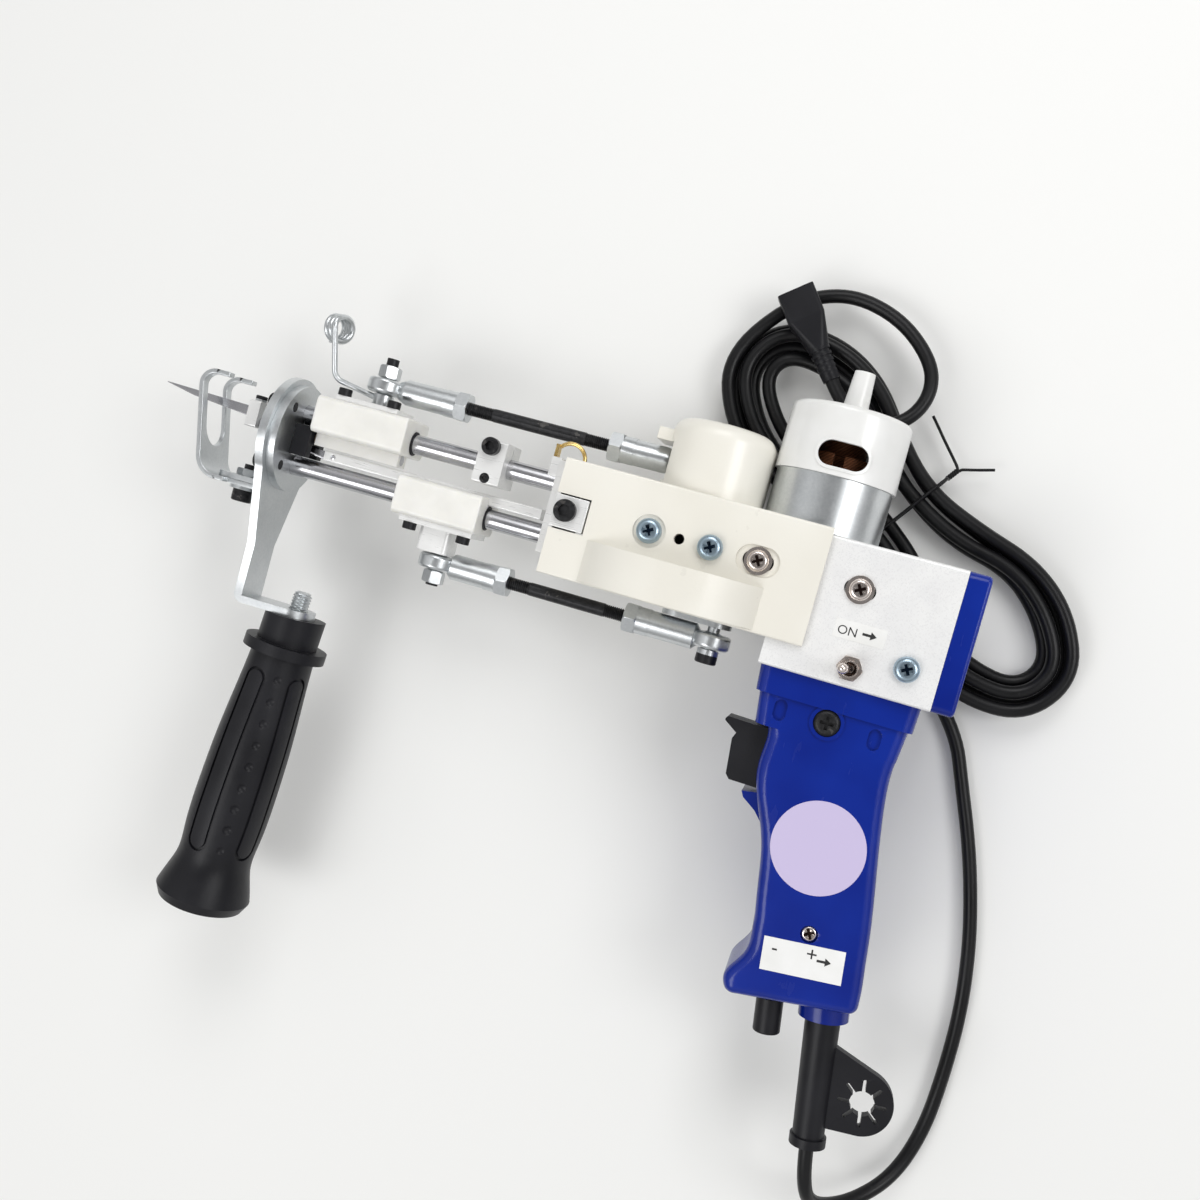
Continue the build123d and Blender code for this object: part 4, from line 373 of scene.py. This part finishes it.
# Looks that differ in numbers only. A noise is its size in millimetres, its detail and any stretch along
# x, y and z. Cloud tints the surface. Fine makes the bumps, or else cloud does. Rough is the least roughness,
# then what cloud and fine add. Specks tint and scuffs roughen the surface where their noise is over a level
finishes = {
    "white": {
        "name": "creamWhiteEnamel", "uniform": {"Coat_Weight": 0.25, "Coat_Roughness": 0.12, "IOR": 1.5},
        "cloud": (38, 2), "fine": (1.5, 2), "rough": (0.27, 0.1, 0.0), "bump": 0.03,
        "tint": [(0.35, (0.79, 0.765, 0.69)), (0.65, (0.84, 0.82, 0.75))],
        "specks": {"noise": (7, 4), "over": 0.71, "share": 0.12, "tint": (0.45, 0.43, 0.38)},
    },
    "blue": {
        "name": "royalBluePlastic",
        "uniform": {"Coat_Weight": 0.15, "Coat_Roughness": 0.08, "Specular_IOR_Level": 0.3},
        "cloud": (30, 2), "fine": (0.7, 2), "rough": (0.2, 0.08, 0.0), "bump": 0.02,
        "tint": [(0.3, (0.0005, 0.012, 0.20)), (0.7, (0.001, 0.02, 0.27))],
        "scuffs": {"noise": (5, 5, (1, 0.25, 1)), "over": 0.66, "rough": 0.08},
    },
    "bright": {
        "name": "machinedAluminium", "uniform": {"Metallic": 0.3},
        "cloud": (9, 2), "fine": (0.35, 2, (0.04, 1, 1)), "rough": (0.22, 0.0, 0.16), "bump": 0.012,
        "tint": [(0.3, (0.80, 0.80, 0.79)), (0.7, (0.88, 0.88, 0.87))],
    },
    "steel": {
        "name": "polishedSteel", "uniform": {"Metallic": 1.0},
        "cloud": (11, 3), "fine": (0.5, 2, (1, 0.05, 0.05)), "rough": (0.16, 0.04, 0.05), "bump": 0.0006,
        "tint": [(0.3, (0.46, 0.46, 0.48)), (0.7, (0.54, 0.54, 0.56))],
    },
    "nickel": {
        "name": "nickelPlate", "uniform": {"Metallic": 1.0},
        "cloud": (3, 3), "fine": (0.7, 3), "rough": (0.14, 0.14, 0.0), "bump": 0.006,
        # the nickel screws' cross recesses get painted shade
        "tint": [(0.3, (0.70, 0.61, 0.56)), (0.7, (0.80, 0.73, 0.69))], "marks": nickelCrosses,
    },
    "black_steel": {
        "name": "blackOxide", "uniform": {"Metallic": 0.6},
        "cloud": (1.6, 3), "fine": (0.5, 3), "rough": (0.32, 0.2, 0.0), "bump": 0.01,
        "tint": [(0.3, (0.012, 0.012, 0.013)), (0.7, (0.03, 0.03, 0.032))],
        "specks": {"noise": (4, 4), "over": 0.64, "share": 0.35, "tint": (0.16, 0.15, 0.14)},
    },
    "black_plastic": {
        "name": "blackPlastic", "uniform": {"Specular_IOR_Level": 0.25},
        "cloud": (22, 3), "fine": (0.6, 3), "rough": (0.34, 0.14, 0.0), "bump": 0.03,
        "tint": [(0.3, (0.006, 0.006, 0.008)), (0.7, (0.012, 0.012, 0.015))],
    },
    "cord": {
        "name": "cordJacket", "uniform": {"Specular_IOR_Level": 0.28},
        "cloud": (16, 3), "fine": (1.2, 3), "rough": (0.3, 0.16, 0.0), "bump": 0.02,
        "tint": [(0.3, (0.003, 0.003, 0.0035)), (0.7, (0.007, 0.007, 0.008))],
        "specks": {"noise": (2.4, 4), "over": 0.7, "share": 0.15, "tint": (0.05, 0.05, 0.05)},
    },
    "nylon": {
        "name": "milkyNylon",
        "uniform": {"Subsurface_Weight": 0.35, "Subsurface_Radius": (0.006, 0.006, 0.005),
                    "Subsurface_Scale": 0.6, "Coat_Weight": 0.25, "Coat_Roughness": 0.2},
        "cloud": (12, 3), "fine": (0.5, 2, (0.06, 1, 1)), "rough": (0.34, 0.0, 0.14), "bump": 0.015,
        "tint": [(0.3, (0.79, 0.78, 0.74)), (0.7, (0.87, 0.86, 0.82))],
    },
    "cover": {
        "name": "milkyCover",
        "uniform": {"Subsurface_Weight": 0.25, "Subsurface_Radius": (0.004, 0.004, 0.004),
                    "Subsurface_Scale": 0.5, "Coat_Weight": 0.3, "Coat_Roughness": 0.1},
        "cloud": (18, 3), "fine": (2.5, 3), "rough": (0.24, 0.1, 0.0), "bump": 0.02,
        "tint": [(0.3, (0.78, 0.78, 0.76)), (0.7, (0.84, 0.84, 0.83))],
    },
    "bronze": {
        "name": "bronzeMetal", "uniform": {"Metallic": 1.0},
        "cloud": (1.4, 3), "rough": (0.3, 0.2, 0.0), "bump": 0.02,
        "tint": [(0.3, (0.42, 0.25, 0.10)), (0.7, (0.66, 0.44, 0.20))],
    },
    "brass": {
        "name": "brassWire", "uniform": {"Metallic": 1.0},
        "cloud": (2.0, 3), "rough": (0.2, 0.14, 0.0), "bump": 0.006,
        "tint": [(0.3, (0.70, 0.47, 0.16)), (0.7, (0.86, 0.65, 0.28))],
    },
    "board": {
        "name": "greenLaminate", "uniform": {"Coat_Weight": 0.3},
        "cloud": (0.8, 2), "rough": (0.3, 0.2, 0.0), "bump": 0.02,
        "tint": [(0.3, (0.01, 0.07, 0.03)), (0.7, (0.02, 0.12, 0.05))],
    },
    "label": {
        "name": "printedFilm", "uniform": {"Coat_Weight": 0.2},
        "cloud": (10, 3), "fine": (1.0, 3), "rough": (0.34, 0.12, 0.0), "bump": 0.01,
        "tint": [(0.3, (0.80, 0.80, 0.78)), (0.7, (0.86, 0.86, 0.85))], "marks": lilacDisc,
    },
}


def noisyLook(finish):
    look = Look(finish["name"], **finish["uniform"])
    cloud = look.noise(*finish["cloud"])
    fine = look.noise(*finish["fine"]) if "fine" in finish else cloud
    tint = look.ramp(cloud, finish["tint"])
    rough, byCloud, byFine = finish["rough"]
    for share, wire in ((byCloud, cloud), (byFine, fine)):
        if share:
            rough = rough + share * wire
    specks, scuffs = finish.get("specks"), finish.get("scuffs")
    if specks:
        speck = look.noise(*specks["noise"]) > specks["over"]
        tint = look.blend(speck * specks["share"], tint, rgb(*specks["tint"]))
    if scuffs:
        rough = rough + scuffs["rough"] * (look.noise(*scuffs["noise"]) > scuffs["over"])
    if "marks" in finish:
        tint = finish["marks"](look, tint)
    return look.feed(Base_Color=tint, Roughness=rough, Normal=look.bump(fine, finish["bump"]))


# Blasted aluminium: small facets of different roughness, the roughest of them darker
blasted = {
    "metallic": 0.25, "grit": (0.45, 3), "cloud": (14, 3), "facet": 0.45, "rough": 0.34, "roughFacet": 0.12,
    "tint": [(0.3, (0.83, 0.83, 0.83)), (0.7, (0.90, 0.90, 0.89))], "bump": 0.03,
    "darkOver": 0.8, "darkShare": 0.22, "dark": (0.55, 0.55, 0.56),
}


def blastedAluminium():
    look = Look("blastedAluminium", Metallic=blasted["metallic"])
    shine = look.node("ShaderNodeSeparateColor", {}, {0: look.cells(blasted["facet"])})
    tint = look.ramp(look.noise(*blasted["cloud"]), blasted["tint"])
    tint = look.blend((shine > blasted["darkOver"]) * blasted["darkShare"], tint, rgb(*blasted["dark"]))
    rough = blasted["rough"] + blasted["roughFacet"] * shine
    bumps = look.bump(look.noise(*blasted["grit"]), blasted["bump"])
    return look.feed(Base_Color=tint, Roughness=rough, Normal=bumps)


# Zinc plate, but black oxide on the cap screws and on the tips of the bolts: x, y and z spans
blackTips = [
    ((-157.5, -128.5), (16.0, 25.8), (5.0, 13.0)), ((-116.0, -86.0), (-22.2, -12.5), (5.0, 13.0)),
    ((-144.0, -137.0), (39.7, 43.0), (-4.0, 4.0)), ((-103.0, -97.4), (-41.6, -40.7), (-3.0, 3.0)),
    ((-12.2, -2.8), (36.5, 40.2), (-4.6, 4.6)), ((10.4, 19.6), (-41.2, -37.5), (-4.6, 4.6)),
    ((-195.2, -189.8), (12.9, 14.6), (-2.8, 2.8)),
]
zinc = {
    "frost": (1.1, 3), "cloud": (7, 2), "grain": (0.35, 2), "shares": (0.5, 0.3, 0.2), "bump": 0.004,
    "tint": [(0.3, (0.56, 0.585, 0.60)), (0.7, (0.68, 0.70, 0.71))], "black": (0.02, 0.02, 0.022),
    # the recess colour is painted shade for the Phillips cross recesses
    "blue": (0.30, 0.42, 0.52), "blueShare": 0.8, "recess": (0.01, 0.02, 0.04),
    "metallic": 1.0, "metallicBlack": 0.4, "rough": 0.26, "roughFrost": 0.1, "roughBlack": 0.1,
}


def insideSpans(look, spans):
    share = None
    for wire, origin, (low, high) in zip(look.axes(), crankAt, spans):
        middle = (origin + (low + high) / 2) / 1000
        near = abs(wire - middle) < (high - low) / 2000
        share = near if share is None else share * near
    return share


def zincPlate():
    look = Look("zincPlate")
    frost, cloud, grain = [look.noise(*zinc[layer]) for layer in ("frost", "cloud", "grain")]
    ofFrost, ofCloud, ofGrain = zinc["shares"]
    black = 0.0
    for spans in blackTips:
        black = insideSpans(look, spans) + black
    tint = look.ramp(ofFrost * frost + ofCloud * cloud + ofGrain * grain, zinc["tint"])
    tint = look.blend(black, tint, rgb(*zinc["black"]))
    tint = look.blend(headMarks(look, "zinc") * zinc["blueShare"], tint, rgb(*zinc["blue"]))
    # Painted shade: the Phillips cross recesses of the zinc screws made near black
    tint = look.blend(crossMarks(look, "zinc"), tint, rgb(*zinc["recess"]))
    metal = zinc["metallic"] - zinc["metallicBlack"] * black
    rough = zinc["rough"] + zinc["roughFrost"] * frost + zinc["roughBlack"] * black
    return look.feed(Base_Color=tint, Metallic=metal, Roughness=rough, Normal=look.bump(grain, zinc["bump"]))


# Enamelled copper wire of the armature, in bands along y
winding = {
    "metallic": 0.8, "bands": {"Scale": 600.0, "Distortion": 2.0},
    "rough": 0.3, "roughBand": 0.2, "bump": 0.15,
    "tint": [(0.2, (0.03, 0.012, 0.006)), (0.8, (0.26, 0.10, 0.045))],
}


def copperWinding():
    look = Look("copperWinding", Metallic=winding["metallic"])
    sockets = {"Vector": look.place(), **winding["bands"]}
    strands = look.node("ShaderNodeTexWave", {"bands_direction": "Y"}, sockets)
    tint = look.ramp(strands, winding["tint"])
    rough = winding["rough"] + winding["roughBand"] * strands
    return look.feed(Base_Color=tint, Roughness=rough, Normal=look.bump(strands, winding["bump"]))


looks = {slot: noisyLook(finish) for slot, finish in finishes.items()}
looks.update({"aluminium": blastedAluminium(), "zinc": zincPlate(), "winding": copperWinding()})
for soft in (powerCord, tieWire):
    soft.data.materials.append(looks["cord"])
print("materials made:", len(looks))

# Every CAD node takes the finish of its slot, and a small rounded edge of this width that catches the light
edges = {
    "plain": 0.25, "housing_near": 0.5, "housing_far": 0.5, "crank_guard": 0.3, "motor_box": 0.35,
    "end_cap": 0.4, "grip_near": 0.3, "grip_far": 0.3, "rear_plate": 0.3, "handle_bracket": 0.3,
    "presser_foot": 0.35,
}
dressing = {"weld": 0.01, "segments": 2, "sharp": 40}
slotOf = {row["node"]: row["material_slot"] for row in frame["record"]["subparts"]}


def dressNode(name, node):
    node.data.materials.clear()
    node.data.materials.append(looks[slotOf[name]])
    weld = node.modifiers.new("weld", "WELD")
    weld.merge_threshold = dressing["weld"] / 1000
    bevel = node.modifiers.new("edge", "BEVEL")
    bevel.width = edges.get(name, edges["plain"]) / 1000
    bevel.segments = dressing["segments"]
    bevel.limit_method = "ANGLE"
    bevel.angle_limit = math.radians(dressing["sharp"])
    bevel.use_clamp_overlap = True
    bevel.harden_normals = False
    for face in node.data.polygons:
        face.use_smooth = True
    normals = node.modifiers.new("normals", "WEIGHTED_NORMAL")
    normals.keep_sharp = True


for name, node in nodes.items():
    if not node.hide_render:
        dressNode(name, node)
print("CAD nodes dressed")

# Threads stand for the plain rods of the CAD nodes in "stands". "cut" is how far each end is threaded
threads = {
    "upperThread": {
        "start": (-119.0, 31.0, 0.0), "axis": (1, 0, 0), "long": 90.4, "radius": 2.7, "pitch": 0.8,
        "cut": 26.0, "body": "needle_rod", "slot": "black_steel", "stands": "upper_push_rod",
    },
    "lowerThread": {
        "start": (-83.8, -32.0, 0.0), "axis": (1, 0, 0), "long": 78.9, "radius": 2.7, "pitch": 0.8,
        "cut": 24.0, "body": "blade_rod", "slot": "black_steel", "stands": "lower_push_rod",
    },
    "handleStud": {
        "start": (-155.232, -100.822, 0.0), "axis": (0.069756, 0.997564, 0), "long": 41.5, "radius": 4.0,
        "pitch": 1.25, "cut": 41.5, "body": "frame", "slot": "zinc", "stands": "handle_stud",
    },
}
threadDetail = {"around": 28, "perTurn": 4, "deepShare": 0.62}


def makeThread(name, size):
    around, perTurn = threadDetail["around"], threadDetail["perTurn"]
    deep = size["pitch"] * threadDetail["deepShare"]
    axis = Vector(size["axis"])
    side = axis.orthogonal().normalized()
    other = axis.cross(side)
    rings = int(size["long"] / size["pitch"] * perTurn)
    points, faces = [], []
    for ring in range(rings + 1):
        along = size["long"] * ring / rings
        inward = min(along, size["long"] - along)
        tapered = deep * max(0, 1 - inward / size["pitch"])
        grown = min(max((size["cut"] - inward) / size["pitch"], 0), 1)
        for step in range(around):
            turn = step / around
            phase = (along / size["pitch"] - turn) % 1
            crest = abs(2 * phase - 1)
            radius = size["radius"] - deep * (1 - crest) * grown - tapered
            angle = 2 * math.pi * turn
            place = axis * along + (side * math.cos(angle) + other * math.sin(angle)) * radius
            points.append(at(*(Vector(size["start"]) + place)))
    for ring in range(rings):
        for step in range(around):
            following = (step + 1) % around
            faces.append((ring * around + step, ring * around + following, (ring + 1) * around + following,
                          (ring + 1) * around + step))
    faces.append(tuple(reversed(range(around))))
    faces.append(tuple(rings * around + step for step in range(around)))
    mesh = bpy.data.meshes.new(name)
    mesh.from_pydata(points, [], faces)
    mesh.materials.append(looks[size["slot"]])
    made = link(bpy.data.objects.new(name, mesh), size["body"])
    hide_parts(size["stands"])


for name, size in threads.items():
    makeThread(name, size)
print("threads cut")

# Lettering on the two labels: name, signs, size, place and turn of each word, and a bold arrow beside each
lettering = {
    "high": 0.08,
    "words": [("onWord", "ON", 4.6, (60.2, -15.1, 24.15), 0.0),
              ("speedWord", "-     +", 7.4, (69.2, -135.6, 19.15), 6.5)],
    "arrows": [("onArrow", (71.9, -13.2, 24.15), 0.0), ("speedArrow", (88.5, -132.7, 19.15), 6.5)],
    "arrow": [(-2.6, -0.45), (0.4, -0.45), (0.4, -1.5), (2.6, 0.0), (0.4, 1.5), (0.4, 0.45), (-2.6, 0.45)],
}
ink = {"rough": 0.5, "cloud": (0.8, 3), "tint": [(0.3, (0.008, 0.008, 0.008)), (0.7, (0.02, 0.02, 0.02))]}


def inkLook():
    look = Look("labelInk", Roughness=ink["rough"])
    return look.feed(Base_Color=look.ramp(look.noise(*ink["cloud"]), ink["tint"]))


looks["ink"] = inkLook()


def layOnLabel(made, place, turn):
    made.location = at(*place)
    made.rotation_euler = (0, 0, math.radians(turn))
    link(made, "frame")


def makeWord(name, words, size, place, turn):
    text = bpy.data.curves.new(name, "FONT")
    text.body = words
    text.size = size / 1000
    text.extrude = lettering["high"] / 2000
    text.materials.append(looks["ink"])
    layOnLabel(bpy.data.objects.new(name, text), place, turn)


def makeArrow(name, place, turn):
    mesh = bpy.data.meshes.new(name)
    low = [(x / 1000, y / 1000, 0) for x, y in lettering["arrow"]]
    high = [(x, y, lettering["high"] / 1000) for x, y, z in low]
    count = len(low)
    sides = [(i, (i + 1) % count, count + (i + 1) % count, count + i) for i in range(count)]
    mesh.from_pydata(low + high, [], [tuple(reversed(range(count))), tuple(range(count, 2 * count)), *sides])
    mesh.materials.append(looks["ink"])
    layOnLabel(bpy.data.objects.new(name, mesh), place, turn)


for word in lettering["words"]:
    makeWord(*word)
for arrow in lettering["arrows"]:
    makeArrow(*arrow)
print("labels lettered")


# Studio: pale floor, soft lamps with their place, size and power, and a grey sky from its foot to its top
studio = {
    "floor": (0.80, 0.80, 0.785), "floorHalf": 6.0, "floorRough": 0.6, "glow": (0.05, 0.05, 0.05),
    "aim": (0, 0, 0.03),
    "lamps": [((-0.5, -0.6, 1.3), 0.7, 6.3), ((0.9, 0.3, 1.0), 0.5, 4.4), ((0.0, 0.9, 0.9), 0.6, 4.0)],
    "sky": [(0.45, (0.14, 0.14, 0.14)), (0.62, (0.42, 0.42, 0.42)), (0.84, (0.76, 0.76, 0.76)),
            (0.955, (0.42, 0.42, 0.42)), (1.0, (0.16, 0.16, 0.16))],
}


def makeFloor():
    mesh = bpy.data.meshes.new("floor")
    half = studio["floorHalf"]
    corners = [(-half, -half, 0), (half, -half, 0), (half, half, 0), (-half, half, 0)]
    mesh.from_pydata(corners, [], [range(len(corners))])
    floor = bpy.data.objects.new("floor", mesh)
    bpy.context.scene.collection.objects.link(floor)
    look = Look("paleFloor", Roughness=studio["floorRough"], Base_Color=rgb(*studio["floor"]))
    seen = look.node("ShaderNodeLightPath", {}, {}, "Is Camera Ray")
    rays = seen.socket.node.outputs
    shown = seen + Wire(look, rays["Is Glossy Ray"]) + Wire(look, rays["Is Transmission Ray"])
    look.feed(Emission_Color=look.blend(shown, rgb(0, 0, 0), rgb(*studio["glow"])), Emission_Strength=1.0)
    mesh.materials.append(look.material)


def makeLamps():
    aim = Vector(studio["aim"])
    for number, (place, size, power) in enumerate(studio["lamps"]):
        data = bpy.data.lights.new("lamp" + str(number), "AREA")
        data.shape = "SQUARE"
        data.size = size
        data.energy = power
        lamp = bpy.data.objects.new("lamp" + str(number), data)
        lamp.location = place
        lamp.rotation_euler = (aim - Vector(place)).to_track_quat("-Z", "Y").to_euler()
        bpy.context.scene.collection.objects.link(lamp)


def makeWorld():
    world = bpy.data.worlds.new("studio")
    bpy.context.scene.world = world
    world.use_nodes = True
    sky = NodeTree(world.node_tree)
    split = sky.node("ShaderNodeSeparateXYZ", {}, {0: sky.node("ShaderNodeTexCoord", {}, {}, "Generated")})
    up = Wire(sky, split.socket.node.outputs["Z"])
    background = sky.tree.nodes["Background"]
    sky.put(background.inputs["Color"], sky.ramp((up + 1) * 0.5, studio["sky"]))
    sky.put(background.inputs["Strength"], 1.0)


makeFloor()
makeLamps()
makeWorld()
bpy.context.scene.view_settings.view_transform = "Standard"
print("studio made")
